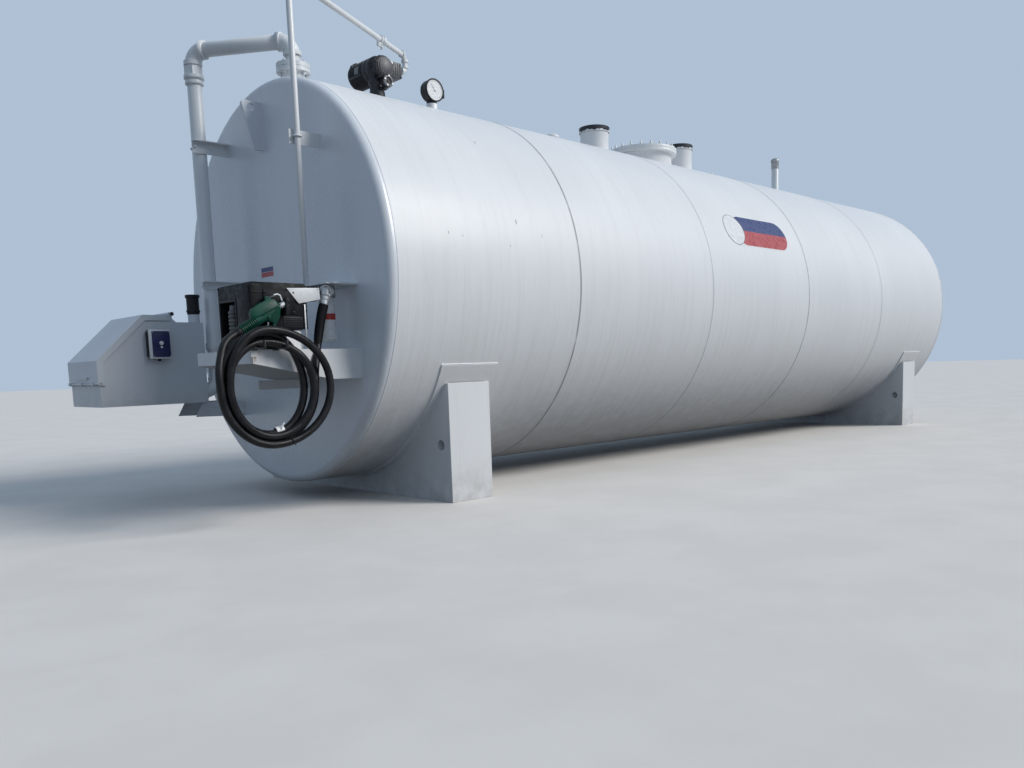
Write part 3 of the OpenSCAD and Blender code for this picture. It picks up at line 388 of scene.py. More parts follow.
class Piece:
    """One object, joined from parts drawn in millimetres. finish is a part's place in its finishes."""

    def __init__(self, name, finishes, nodes=(), body="tank", slot=None):
        self.parts, self.finishes = [], finishes
        self.name, self.nodes, self.body, self.slot = name, nodes, body, slot
        self.place = Matrix()

    def take(self, o, finish=0, move=None, bevel=0.0):
        """Puts a part in its place, gives it its finish and rounds its edges."""
        o.matrix_basis = self.place @ (move or Matrix()) @ o.matrix_basis
        clear()
        o.select_set(True)
        bpy.context.view_layer.objects.active = o
        bpy.ops.object.transform_apply(location=True, rotation=True, scale=True)
        if bevel:
            edges = o.modifiers.new("edges", "BEVEL")
            edges.width, edges.segments = bevel, 2
            edges.limit_method, edges.angle_limit = "ANGLE", 0.5
            bpy.ops.object.modifier_apply(modifier="edges")
        o.data.materials.clear()
        o.data.materials.append(self.finishes[finish].material)
        self.parts.append(o)
        return self

    def turn(self, profile, base=(0, 0, 0), axis=(0, 0, 1), sides=48, finish=0):
        """Round part from (radius, height) points, standing on base along axis."""
        return self.take(turned(profile, sides), finish, Matrix.Translation(base) @ facing(axis))

    def block(self, lo, hi, finish=0, bevel=2.0):
        clear()
        middle = [(a + b) / 2 for a, b in zip(lo, hi)]
        bpy.ops.mesh.primitive_cube_add(size=1, location=middle, scale=[b - a for a, b in zip(lo, hi)])
        return self.take(bpy.context.object, finish, None, bevel)

    def plate(self, outline, holes=(), y0=0.0, y1=10.0, finish=0, bevel=1.5, move=None):
        """Flat plate with its outline in X and Z, extruded along Y."""
        start([(x, y0, z) for x, z in (*outline, outline[0])])
        for hole in holes:
            trace([(x, y0, z) for x, z in (*hole, hole[0])])
        everything()
        bpy.ops.mesh.remove_doubles(threshold=DOUBLES)
        if holes:
            bpy.ops.mesh.fill(use_beauty=True)
        else:
            bpy.ops.mesh.edge_face_add()
        everything()
        bpy.ops.mesh.dissolve_limited(angle_limit=0.01)
        everything()
        bpy.ops.mesh.extrude_region_move(TRANSFORM_OT_translate={"value": (0, y1 - y0, 0)})
        return self.take(close_up(), finish, move, bevel)

    def casting(self, corners, finish=0, bevel=2.0):
        """Closed skin drawn tight over its corners."""
        start(corners)
        everything()
        bpy.ops.mesh.convex_hull()
        everything()
        bpy.ops.mesh.dissolve_limited(angle_limit=0.02)
        bpy.ops.mesh.delete_loose()
        return self.take(close_up(), finish, None, bevel)

    def rod(self, points, r, sides=16, finish=0):
        """Round bar along points. r is a number or one per point."""
        points = [Vector(p) for p in points]
        start(points)
        everything()
        bpy.ops.mesh.remove_doubles(threshold=DOUBLES)
        bpy.ops.object.mode_set(mode="OBJECT")
        bpy.ops.object.convert(target="CURVE")
        bar = bpy.context.object.data
        thick = r if isinstance(r, (list, tuple)) else [r] * len(points)
        for q in bar.splines[0].points:
            q.radius = min(zip(points, thick), key=lambda pair: (pair[0] - q.co.xyz).length)[1]
        bar.bevel_depth, bar.bevel_resolution, bar.use_fill_caps = 1, (sides - 4) // 2, True
        bpy.ops.object.convert(target="MESH")
        edit()
        return self.take(close_up(), finish)

    def bolt(self, p, axis, r=9.0, h=8.0, stud=0.0, finish=0, washer=True):
        """Hexagon head or nut, with a washer under it and a stud end standing out of it."""
        shapes = [(nut, r, h, 0)]
        if washer:
            shapes.append((disc, r * 1.25, 2.5, -1))
        if stud:
            shapes.append((disc, r * 0.55, h + stud, 0))
        for shape, wide, high, up in shapes:
            o = bpy.data.objects.new("part", shape.copy())
            scene.collection.objects.link(o)
            size = Matrix.Diagonal((wide, wide, high, 1))
            self.take(o, finish, Matrix.Translation(p) @ facing(axis) @ Matrix.Translation((0, 0, up)) @ size)
        return self

    def sticker(self, edge, r, finish=0, columns=40, rows=10, centre=(0, 0, 0), turn=None):
        """Thin film on a drum that lies along X. edge gives x and the angles of both sides, for 0 to 1."""
        clear()
        bpy.ops.mesh.primitive_grid_add(x_subdivisions=columns, y_subdivisions=rows, size=1)
        o = bpy.context.object
        for v in o.data.vertices:
            x, a0, a1 = edge(min(1, max(0, v.co.x + 0.5)))
            a = a0 + (a1 - a0) * (v.co.y + 0.5)
            v.co = (x, -r * math.sin(a), r * math.cos(a))
        edit()
        o = close_up()
        film = o.modifiers.new("film", "SOLIDIFY")
        film.thickness, film.offset = 0.3, -1
        bpy.ops.object.modifier_apply(modifier="film")
        return self.take(o, finish, Matrix.Translation(centre) @ (turn or Matrix()))

    def done(self, smooth=38):
        """Joins the parts, takes the piece to metres in the shared frame and mounts it."""
        clear()
        for o in self.parts:
            o.select_set(True)
        o = bpy.context.view_layer.objects.active = self.parts[0]
        if len(self.parts) > 1:
            bpy.ops.object.join()
        bpy.ops.transform.resize(value=(0.001, 0.001, 0.001), center_override=(0, 0, 0))
        bpy.ops.transform.translate(value=at(0, 0, 0))
        bpy.ops.object.transform_apply(location=True, rotation=True, scale=True)
        edit()
        everything()
        bpy.ops.mesh.normals_make_consistent(inside=False)
        bpy.ops.object.mode_set(mode="OBJECT")
        bpy.ops.object.shade_smooth_by_angle(angle=deg(smooth))
        o.name = o.data.name = self.name
        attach(o, self.body)
        if self.nodes:
            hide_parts(*self.nodes)
        return o


def pattern(profile, sides):
    """A shape that repeats, modelled once."""
    o = turned(profile, sides)
    mesh = o.data
    bpy.data.objects.remove(o)
    return mesh


def around(x, z, r, angles):
    """Points on a circle, as x and z, at angles in degrees."""
    return [(x + r * math.cos(deg(a)), z + r * math.sin(deg(a))) for a in angles]


nut = pattern([(0, 0), (1, 0), (1, 0.87), (0.87, 1), (0, 1)], 6)
disc = pattern([(0, 0), (1, 0), (1, 0.93), (0.9, 1), (0, 1)], 20)


# -------------------------------- CAD nodes that stay, with their finish
looks = {
    shell_paint: "shell",
    head_paint: "near_head far_head near_lug far_lug",
    saddle_paint: "near_saddle far_saddle near_wear_plate far_wear_plate",
    pipe_paint: "product_pipe product_run fill_cross_pipe gauge_neck top_plug vent_riser manway_neck",
    trim_paint: "fill_flange fill_top_elbow fill_side_elbow fill_union fill_drop_pipe fill_brackets "
                "product_brackets product_elbow line_union pump_elbow small_cap manway_cover",
    box_paint: "fill_box fill_box_lid fill_box_support",
    shelf_paint: "shelf shelf_arm",
    black_plastic: "fill_box_cap",
    hook_paint: "hose_hooks",
    zinc_steel: "vent_riser_cap",
    meter_metal_darkened_for_shade: "meter",
    cast_aluminium: "filter_head",
}
fine = {"shell", "near_head", "far_head", "near_wear_plate", "far_wear_plate"}  # smooth enough as they are
sharp = {"fill_flange", "fill_top_elbow", "fill_side_elbow"}  # a bevel would pinch their narrow faces
for look, names in looks.items():
    for name in names.split():
        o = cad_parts[name]
        o.data.materials.clear()
        o.data.materials.append(look.material)
        for s in o.material_slots:
            s.link = "OBJECT"
            s.material = look.material
        if name in fine:
            continue
        weld = o.modifiers.new("weld", "WELD")
        weld.merge_threshold = 0.00002
        flat = o.modifiers.new("plain", "DECIMATE")
        flat.decimate_type, flat.angle_limit = "DISSOLVE", deg(0.6)
        if name in sharp:
            continue
        edges = o.modifiers.new("edges", "BEVEL")
        edges.width, edges.segments, edges.harden_normals = 0.0022, 2, True
        edges.limit_method, edges.angle_limit = "ANGLE", deg(40)

# -------------------------------- nozzle and its rest
OUT, IN = (0, -1, 0), (0, 1, 0)  # away from the tank on the dispenser's side, and back
END, ALONG = (-1, 0, 0), (1, 0, 0)  # away from the near head, and along the tank
UP, DOWN = (0, 0, 1), (0, 0, -1)


def both_sides(outline, y):
    """An outline in a nozzle's own plane, on both sides of it."""
    return [(a, side, h) for a, h in outline for side in (-y, y)]


# The nozzle is drawn along its own X, from the spout's tip to the hose, and then tilted.
nozzle = Piece("fuel_nozzle", [green_grip, cast_aluminium, black_plastic, zinc_steel], ["nozzle"],
               slot="nozzle_green")
tilt = Matrix(((-0.868, 0, -0.496), (0, -1, 0), (-0.496, 0, 0.868))).transposed().to_4x4()
nozzle.place = Matrix.Translation((-435, -922, -174)) @ tilt
# Spout with its collar, and the nut behind it.
nozzle.turn([(0, 10), (9.5, 10), (9.5, 0), (11, 0), (12, 2), (12, 18), (15, 19), (16, 21), (16, 42), (15, 44),
             (12, 45), (12, 64), (0, 64)], axis=ALONG, sides=32, finish=1)
nozzle.turn([(0, 60), (18, 60), (20, 62), (20, 70), (17, 73), (17, 84), (0, 84)], axis=ALONG, sides=12,
            finish=1)
# Body: a barrel in two castings, with a hump over the valve.
nozzle.turn([(0, 76), (21, 76), (26, 90), (26, 190), (22, 214), (0, 214)], axis=ALONG, sides=40)
nozzle.casting(both_sides([(46, 16), (58, 46), (84, 60), (134, 66), (186, 63), (208, 46), (216, 22), (178, 4),
                           (52, 0)], 13) + both_sides([(62, 14), (176, 18)], 28), 0, 1.2)
nozzle.casting(both_sides([(47, 10), (50, -8), (78, -44), (112, -62), (122, -58), (150, -24), (182, 8)],
                          12) + both_sides([(62, 12), (168, 14)], 27.5), 0, 1.2)
nozzle.casting(both_sides([(60, 44), (78, 76), (92, 80), (104, 60)], 8), 0, 3)
# Ribbed grip, and the swivel that the hose goes into.
ribs = [(0, 196), (23, 196)]
for i in range(9):
    ribs += [(r, 198 + i * 11 + step) for r, step in ((22.5, 0), (27, 1.5), (27, 6.5), (22.5, 8))]
nozzle.turn(ribs + [(22, 298), (0, 298)], axis=ALONG, sides=40)
nozzle.turn([(0, 296), (23, 296), (24, 298), (24, 314), (22, 318), (22, 322), (0, 322)], axis=ALONG, sides=40,
            finish=2)
# Lever guard, lever and the lever's pin.
nozzle.plate([(112, -20), (118, -64), (150, -90), (176, -90), (256, -58), (264, -8), (250, -8)],
             [[(126, -22), (130, -58), (154, -77), (174, -77), (244, -50), (250, -20)]], -11, 11, 0, 3)
nozzle.rod([(134, 0, -18), (150, 0, -44), (172, 0, -58), (204, 0, -46), (240, 0, -38)], [6, 5, 5, 5, 4], 24, 3)
nozzle.turn([(0, -28), (8, -28), (9, -26), (9, 26), (8, 28), (0, 28)], (134, 0, -10), IN, 20, 0)
nozzle.done(18)

boot = Piece("nozzle_boot", [case_paint, black_plastic, label_white], ["nozzle_rest"], slot="cabinet_black")
# Back plate, socket, lower cheek and the socket's rim.
boot.block((-545, -895, -232), (-370, -889, -114))
boot.plate([(-452, -240), (-434, -240), (-424, -212), (-426, -158), (-434, -150), (-448, -156)], [], -944, -892,
           1, 4)
boot.plate([(-545, -232), (-520, -240), (-476, -240), (-476, -190), (-545, -150)], [], -912, -893, 0, 4)
boot.turn([(13, 0), (22, 0), (24, 3), (24, 16), (13, 18), (13, 0)], (-442, -922, -178), (0.868, 0, 0.496), 32,
          1)
# Bright hook over the spout.
boot.rod([(-510, -893, -150), (-510, -932, -146), (-508, -937, -141), (-491, -938, -137), (-477, -938, -143),
          (-468, -938, -168)], 4.2, 12, 2)
for x, z in ((-536, -123), (-380, -123), (-536, -223), (-380, -223)):
    boot.bolt((x, -895, z), OUT, 6, 4, finish=1)
boot.done()

# -------------------------------- dispenser cabinet
cabinet = Piece("dispenser_cabinet", [case_paint, black_plastic, label_white, zinc_steel, pipe_paint],
                ["cabinet"], slot="cabinet_black")
# Turns a plate to face -X, so it is drawn in Y and Z.
FACE_X = Matrix(((0, 1, 0, 0), (1, 0, 0, 0), (0, 0, 1, 0), (0, 0, 0, 1)))
# Case with a step in its side, and a thick face with a window for the meter.
side = [(-546, -412), (-460, -412), (-448, -307), (-300, -307), (-300, -85), (-310, -75), (-546, -75)]
cabinet.plate(side, [], -890, -518, 0, 3)
face = [(-890, -412), (-518, -412), (-518, -85), (-528, -75), (-880, -75), (-890, -85)]
window = [(-715, -338), (-540, -338), (-540, -160), (-715, -160)]
cabinet.plate(face, [window], -610, -544, 0, 3, FACE_X)
# Frame round the window, and the cover beside it.
wide = [(-727, -350), (-528, -350), (-528, -148), (-727, -148)]
cabinet.plate(wide, [window], -613, -607, 1, 1.5, FACE_X)
cabinet.plate([(-876, -400), (-740, -400), (-740, -90), (-876, -90)], [], -613, -608, 0, 2, FACE_X)
for y, z in ((-866, -110), (-866, -385), (-750, -110), (-750, -385), (-532, -86), (-532, -400)):
    cabinet.bolt((-612, y, z), END, 5, 3, finish=1)
# Band, latch plate and louvred plate on the side that faces the viewer.
cabinet.block((-606, -893, -128), (-304, -887, -122), 1, 1)
cabinet.block((-530, -896, -398), (-470, -888, -300), 1, 3)
cabinet.block((-440, -893, -300), (-330, -888, -244), 1, 2)
for i in range(5):
    cabinet.block((-432, -895, -292 + i * 9), (-338, -891, -288 + i * 9), 0, 1)
for x, z in ((-595, -92), (-320, -92), (-595, -398)):
    cabinet.bolt((x, -890, z), OUT, 5, 3, finish=1)
# Junction box, and the blank plate that reaches over to it.
cabinet.block((-304, -890, -160), (-236, -820, -98), 0, 4)
cabinet.plate([(-417, -100), (-228, -92), (-224, -152), (-351, -177)], [], -899, -893, 2, 1.2)
for x, z in ((-402, -106), (-238, -100), (-234, -148), (-350, -168)):
    cabinet.bolt((x, -898, z), OUT, 3.5, 2, finish=3, washer=False)
# Post, two pale plates under the case, and the case's top.
cabinet.block((-320, -895, -410), (-311, -888, -180), 3, 1)
cabinet.plate([(-442, -410), (-330, -410), (-330, -312), (-404, -312)], [], -872, -868, 4, 0.8)
cabinet.block((-330, -872, -410), (-324, -640, -310), 4, 0.8)
cabinet.block((-600, -880, -79), (-310, -530, -72), 1, 3)
cabinet.done()

# -------------------------------- filter, swivel and sleeve
filter_x, filter_y = -105, -760
filter_can = Piece("filter_can", [filter_enamel_painted_bright, red_band, black_plastic], ["filter"], slot="filter_white")
# Can with a domed foot, red band, and gasket.
can = [(0, -127), (40, -127), (42, -130), (46.5, -131), (46.5, -137), (44.6, -139), (44.6, -340)]
can += [(44.6 - 9 * (1 - math.cos(t)), -340 - 26 * math.sin(t)) for t in (0.3, 0.6, 0.9, 1.2)]
filter_can.turn(can + [(30, -371), (12, -372), (0, -372)], (filter_x, filter_y, 0))
filter_can.turn([(44.6, -216), (45.1, -217), (45.1, -249), (44.6, -250), (44, -250), (44, -216), (44.6, -216)],
                (filter_x, filter_y, 0), finish=1)
filter_can.turn([(36, -124), (43, -124), (43, -129), (36, -129), (36, -124)], (filter_x, filter_y, 0), finish=2)
# Grips round the foot.
grips = [22.5 * i for i in range(16)]
for (x, y), (low_x, low_y) in zip(around(filter_x, filter_y, 44.8, grips),
                                  around(filter_x, filter_y, 44.5, grips)):
    filter_can.rod([(x, y, -330), (low_x, low_y, -356)], 2.2, 6)
filter_can.done()

hose_start = (-190, -890, -146)
elbow_out = (-0.5, -0.86, 0)  # where the swivel's elbow leaves the filter's head
swivel = Piece("hose_swivel_joint", [cast_aluminium, black_plastic, zinc_steel], ["hose_swivel"],
               slot="fitting_metal")
# Bolts on the filter's head, and the elbow that leaves it.
for x, y in around(filter_x, filter_y, 38, (45, 135, 225, 315)):
    swivel.bolt((x, y, -57), UP, 7, 5, 2, finish=2)
swivel.turn([(0, 0), (26, 0), (28, 3), (28, 26), (24, 30), (0, 30)], (-126, -796, -96), elbow_out, 8)
swivel.rod([(-128, -800, -96), (-146, -832, -96), (-160, -852, -96), (-170, -868, -100), (-177, -880, -112),
            (-181, -886, -126)], [20, 20, 21, 22, 22, 21], 24)
swivel.turn([(20, -4), (27, -4), (29, -1), (29, 9), (27, 12), (20, 12), (20, -4)], (-158, -848, -96), elbow_out,
            32)
# Swivel nut, seal and ferrule, on the hose's own line.
swivel.place = Matrix.Translation(hose_start) @ facing((-0.323, -0.024, -0.946))
swivel.turn([(0, -28), (24, -28), (26, -25), (26, -14), (24, -11), (0, -11)], sides=6)
swivel.turn([(0, -13), (22, -13), (22, -9), (0, -9)], sides=32, finish=1)
swivel.turn([(0, -10), (23, -10), (24.5, -7), (24.5, 10), (23, 13), (24.5, 16), (24.5, 34), (22, 37), (0, 37)],
            sides=40)
swivel.place = Matrix()
# Plug, arm and black knob beside the filter's head.
swivel.turn([(0, 0), (14, 0), (14, 10), (0, 10)], (-152, -672, -95), OUT, 6, 2)
swivel.block((-168, -704, -108), (-140, -690, -84), 1, 3)
swivel.block((-250, -712, -104), (-150, -702, -88), 1, 4)
swivel.turn([(0, 0), (30, 0), (32, 3), (32, 34), (28, 40), (0, 40)], (-196, -742, -70), DOWN, 10, 1)
swivel.block((-215, -806, -98), (-196, -742, -88), 1, 3)
swivel.done()

sleeve = Piece("hose_sleeve", [rubber_sleeve], slot="hose_rubber")
sleeve.rod([(-199, -890.6, -172), (-208, -891.2, -199), (-217, -892, -225), (-225, -893, -255),
            (-233, -894.4, -283), (-240, -896, -310), (-247, -899, -337), (-254, -903, -363),
            (-262, -908, -390)], [24, 26, 26, 25.5, 25, 24.5, 24, 23, 20.6], 24)
sleeve.done()

# -------------------------------- pump
pump_x, pump_z = 815, 1445  # the pump's own axis, which lies across the tank
strainer_x, strainer_z = 838, 1358
pump = Piece("pump", [pump_paint, cover_grey, zinc_steel, worn_plate, cast_aluminium],
             ["pump_body", "pump_motor"], slot="pump_black")
# Body with its ribs, and the cover on its face.
body = [(0, -20), (80, -20), (83, -17), (83, 8), (79, 11), (79, 34), (83, 38), (83, 62), (80, 67), (68, 74),
        (68, 108), (71, 112), (71, 124), (68, 127), (58, 131), (0, 131)]
pump.turn(body, (pump_x, 0, pump_z), OUT, 64)
pump.turn([(0, 126), (60, 126), (61, 128), (61, 135), (59, 137), (53, 137.5), (53, 142), (50, 144), (0, 144)],
          (pump_x + 6, 0, pump_z), OUT, 64, 1)
# Bolt lobes round the cover.
lobes = [22.5 + 45 * i for i in range(8)]
for x, z in around(pump_x, pump_z, 65, lobes):
    pump.bolt((x, -124, z), OUT, 5, 5)
for x, z in around(pump_x, pump_z, 66, lobes):
    pump.turn([(0, 0), (9, 0), (9, 46), (6, 50), (0, 50)], (x, -74, z), OUT, 16)
# Ribbed box beside the body, with a boss on it and two plugs.
pump.block((866, -118, 1398), (964, -10, 1499), 1, 8)
for i in range(4):
    pump.block((892 + i * 18, -121.5, 1408), (898 + i * 18, -60, 1489), 1, 2)
pump.turn([(0, 0), (30, 0), (30, 8), (26, 11), (0, 11)], (905, -65, 1496), UP, 32, 0)
pump.bolt((880, -117, 1484), OUT, 9, 8, finish=2)
pump.bolt((955, -117, 1408), OUT, 7, 6, finish=1)
# Strainer below it, with its flange, bolts and plug.
pump.turn([(0, 0), (46, 0), (46, 44), (40, 48), (40, 98), (36, 102), (0, 102)], (strainer_x, -30, strainer_z),
          OUT, 40)
pump.turn([(0, 96), (33, 96), (38, 100), (38, 107), (34, 110), (24, 110), (22, 104), (22, 98), (0, 98)],
          (strainer_x, -30, strainer_z), OUT, 24, 3)
for x, z in around(strainer_x, strainer_z, 31, (90, 165, 245, 330)):
    pump.bolt((x, -137, z), OUT, 8, 7, finish=4, washer=False)
pump.turn([(0, 96), (23, 96), (23, 99), (0, 99)], (strainer_x, -30, strainer_z), OUT, 24, 1)
pump.bolt((strainer_x, -128, strainer_z), OUT, 9, 7, finish=0)
for x, z in around(strainer_x, strainer_z, 40, (40, 140, 220, 320)):
    pump.bolt((x, -90, z), OUT, 6, 6, finish=2)
# Foot that stands on the tank's flange, and the flange.
pump.turn([(0, 1208), (48, 1208), (48, 1246), (45, 1252), (38, 1258), (38, 1340), (46, 1350), (46, 1368),
           (36, 1395), (0, 1400)], (795, -45, 0))
pump.turn([(0, 1216), (60, 1216), (64, 1219), (64, 1248), (60, 1254), (52, 1262), (50, 1300), (0, 1304)],
          (806, -48, 0), sides=48)
# Motor with its fins, end bell and two feet.
fins = [(0, 14), (80, 14)]
for i in range(11):
    fins += [(r, 20 + i * 13 + step) for r, step in ((79, 0), (84, 1.5), (84, 5), (79, 7))]
pump.turn(fins + [(80, 166), (84, 168), (84, 178), (78, 184), (60, 194), (40, 205), (0, 207)],
          (pump_x, 0, pump_z), IN, 64)
for x, z in around(pump_x, pump_z, 74, (200, 340)):
    pump.block((x - 12, 30, z - 8), (x + 12, 170, z + 8), 0, 3)


def bare_plate(t):
    """Edge of the blank plate on the motor: how far along it, and the angles of its sides."""
    return 52 + 46 * t, deg(-100), deg(-68)


pump.sticker(bare_plate, 85, 3, 6, 8, (pump_x, 0, pump_z), Matrix.Rotation(math.pi / 2, 4, "Z"))
# Terminal box on the motor, and its cable gland.
pump.block((778, 141, 1477), (838, 200, 1522), 0, 6)
pump.block((775, 138, 1518), (841, 203, 1530), 1, 4)
for x in (785, 831):
    for y in (147, 194):
        pump.bolt((x, y, 1529), UP, 4.5, 2, finish=2, washer=False)
pump.turn([(0, 0), (16, 0), (17, 2), (17, 16), (14, 18), (14, 26), (0, 26)], (781, 170, 1500), END, 24)
pump.turn([(0, 16), (19, 16), (19, 22), (0, 22)], (781, 170, 1500), END, 6, 2)
pump.done()

# -------------------------------- level gauge
gauge_x, gauge_z = 1300, 1412
gauge = Piece("level_gauge", [black_plastic, dial_white, ink, clear_glass, zinc_steel], ["gauge"],
              slot="gauge_black")
# Case and dial.
gauge.turn([(0, 0), (54, 0), (66, 5), (73, 14), (76, 24), (76, 72), (77, 74), (79, 78), (79, 86), (77, 90),
            (71, 90), (69, 86), (69, 80), (0, 80)], (gauge_x, 45, gauge_z), OUT, 72)
gauge.turn([(0, 79), (69, 79), (69, 83), (0, 83)], (gauge_x, 45, gauge_z), OUT, 72, 1)
for mark in range(21):
    half, inner = (0.8, 54) if mark % 5 == 0 else (0.4, 58)
    angle = deg(225 - mark * 13.5)
    gauge.place = Matrix.Translation((gauge_x, -38.6, gauge_z)) @ Matrix.Rotation(-angle, 4, "Y")
    gauge.block((inner, -0.6, -half), (63, 0.6, half), 2, 0)
# Pointer, its hub and the glass.
gauge.place = Matrix.Translation((gauge_x, -39.5, gauge_z)) @ Matrix.Rotation(deg(-128), 4, "Y")
gauge.plate([(-14, -1.6), (0, -2.2), (50, -0.5), (50, 0.5), (0, 2.2), (-14, 1.6)], [], -0.7, 0.7, 2, 0)
gauge.place = Matrix()
gauge.turn([(0, 0), (7, 0), (7, 4), (5, 5), (0, 5)], (gauge_x, -38, gauge_z), OUT, 24, 4)
gauge.turn([(0, 0), (68.8, 0), (68.8, 1.2), (0, 1.2)], (gauge_x, -43, gauge_z), OUT, 72, 3)
# Neck, nut and the side box with its button.
gauge.turn([(0, 0), (28, 0), (30, 2), (30, 20), (34, 24), (34, 34), (0, 40)], (gauge_x, 0, 1312), UP, 32)
gauge.turn([(0, 0), (37, 0), (37, 14), (0, 14)], (gauge_x, 0, 1322), UP, 6)
gauge.block((1364, -33, 1374), (1394, -3, 1436), 0, 6)
gauge.turn([(0, 0), (9, 0), (9, 5), (7, 7), (0, 7)], (1392, -18, 1405), ALONG, 20, 4)
gauge.done()

# -------------------------------- emergency vents
vents = Piece("vents", [pipe_paint, vent_rubber], ["vent_a", "vent_b"], slot="pipe_paint")
VENTS = ((3040, 1448), (4250, 1482))  # place along the tank, and top
for x, h in VENTS:
    # Neck, rubber cap and the disc on top.
    vents.turn([(0, 1206), (119, 1206), (119, h - 70), (121, h - 66), (121, h - 40), (0, h - 40)], (x, 0, 0),
               sides=72)
    vents.turn([(0, h - 44), (125, h - 44), (128, h - 36), (128, h - 14), (130, h - 12), (130, h - 4),
                (127, h - 1), (112, h), (100, h - 6), (0, h - 8)], (x, 0, 0), sides=72, finish=1)
    vents.turn([(0, h - 10), (44, h - 10), (48, h - 7), (30, h - 1), (0, h)], (x, 0, 0), sides=40, finish=1)
    # The white paint ends in a ragged edge on the rubber cap.
    edge = turned([(127, h - 46), (128.4, h - 46), (128.6, h - 37), (127, h - 37), (127, h - 46)], 144)
    for v in edge.data.vertices:
        if v.co.z > h - 40:
            a = math.atan2(v.co.y, v.co.x)
            v.co.z += 4 * math.sin(7 * a + h) + 3 * math.sin(19 * a) + 2 * math.sin(43 * a)
    vents.take(edge, 0, Matrix.Translation((x, 0, 0)))
vents.done()

# -------------------------------- alarm box on the fill box
alarm = Piece("alarm", [brown_rim, blue_enamel, label_white, black_plastic, zinc_steel], ["alarm_box"],
              slot="alarm_blue")
# Rim, white frame, back and blue front.
alarm.block((-622, 446, -421), (-492, 487, -243), 0, 5)
alarm.block((-622, 434, -421), (-492, 450, -243), 2, 5)
alarm.block((-626, 452, -408), (-618, 480, -256), 3, 2)
alarm.block((-606, 429, -411), (-497, 437, -252), 1, 3)
# Lamp and button.
alarm.turn([(0, 0), (13, 0), (13, 4), (11, 6), (0, 6)], (-552, 429, -326), OUT, 28, 2)
alarm.turn([(0, 0), (7, 0), (6, 4), (0, 6)], (-552, 429, -350), OUT, 20, 2)
for x in (-600, -503):
    for z in (-405, -258):
        alarm.bolt((x, 429, z), OUT, 3.5, 2, finish=4, washer=False)
# Cable gland.
alarm.turn([(0, 0), (11, 0), (11, 12), (9, 14), (0, 14)], (-560, 462, -421), DOWN, 12, 3)
alarm.done()

# -------------------------------- lever, labels, hose wrap, sleeves, latch
lever = Piece("line_union_lever", [trim_paint], slot="pipe_paint")
lever.place = Matrix.Translation((728.6, -212.4, 1575)) @ Matrix.Rotation(deg(25.9), 4, "Z")
# Stem under the union, and a bar held by two straps.
lever.turn([(0, 0), (11, 0), (11, 12), (8, 14), (8, 20), (0, 20)], (0, 0, -24), DOWN, 24)
lever.block((-26, -9, -52), (-19, 9, -20), 0, 2)
lever.block((19, -9, -60), (26, 9, -20), 0, 2)
lever.block((-34, -8, -47), (34, 8, -41), 0, 2)
lever.done()


def capsule(x0, x1, a0, a1, left=(1, 1), right=(1, 1)):
    """Edge of a label with round ends, as x and two angles.

    left and right say which of its corners are round.
    """
    r = (a1 - a0) * SHELL_R / (sum(left) or 2)
    middle = (x0 + x1) / 2

    def edge(t):
        x = x0 + (x1 - x0) * (0.5 - 0.5 * math.cos(math.pi * t))
        near, round_ones = (x - x0, left) if x < middle else (x1 - x, right)
        cut = r / SHELL_R * (1 - math.sqrt(max(0, 1 - max(0, 1 - near / r) ** 2)))
        return x, a0 + cut * round_ones[0], a1 - cut * round_ones[1]
    return edge


shell_label = Piece("shell_label", [label_white, label_navy, label_red, ink], slot="tank_paint")
# White ground, blue over red, and an inked ring round a white field.
shell_label.sticker(capsule(3296, 4257, deg(59.2), deg(72.35)), SHELL_R + 0.4, 0, 72, 12)
shell_label.sticker(capsule(3440, 4249, deg(59.55), deg(65.8), (1, 0), (1, 0)), SHELL_R + 0.8, 1, 64, 8)
shell_label.sticker(capsule(3440, 4249, deg(65.8), deg(72.0), (0, 1), (0, 1)), SHELL_R + 0.8, 2, 64, 8)
shell_label.sticker(capsule(3300, 3573, deg(59.4), deg(72.2)), SHELL_R + 1, 3, 48, 12)
shell_label.sticker(capsule(3305, 3568, deg(59.62), deg(71.98)), SHELL_R + 1.3, 0, 48, 12)
shell_label.done()

head_label = Piece("head_label", [label_white, label_navy, label_red], slot="head_paint")
head_label.block((-1.0, 0, 65), (0.5, 161, 131), 0, 0)
head_label.block((-1.3, 4, 100), (0, 157, 127), 1, 0)
head_label.block((-1.3, 4, 69), (0, 157, 98), 2, 0)
head_label.done()

wrap = Piece("hose_wrap", [label_white, black_plastic], slot="hose_rubber")
# White tape with its loose end, and a cable tie.
wrap.turn([(19, -22), (21.2, -22), (21.6, -20), (21.6, 18), (21.2, 20), (19, 20), (19, -22)],
          (-545, -970.5, -820), (0.98, 0, 0.16), 28)
wrap.rod([(-545, -993, -812), (-538, -996, -790), (-528, -994, -782)], 3.5, 8)
wrap.rod([(-512, -1026, -852), (-505, -1033, -872), (-492, -1031, -896)], 2.4, 8, 1)
wrap.done()

tie_sleeves = Piece("tie_hole_sleeves", [saddle_paint], slot="saddle_paint")
for c in SADDLES:
    for y in (-995, 995):
        tie_sleeves.turn([(32.5, -157), (32.5, 157), (35, 157), (35, -157), (32.5, -157)], (c, y, -985), ALONG,
                         40)
tie_sleeves.done()

latch = Piece("latch_rod", [zinc_steel, black_plastic], slot="box_paint")
# Rod and its head, and the cap on the lid's hinge pin.
latch.rod([(-928, 412, -564), (-928, 700, -564), (-928, 998, -564)], 4.5, 14)
latch.turn([(0, 0), (9, 0), (10, 1), (10, 7), (0, 7)], (-928, 417, -564), OUT, 16, 0)
latch.turn([(0, 0), (10, 0), (12, 2), (12, 5), (0, 6)], (-457, 476, -144), OUT, 20, 1)
latch.done()

# -------------------------------- weld beads
welds = Piece("welds", [pipe_paint], slot="tank_paint")


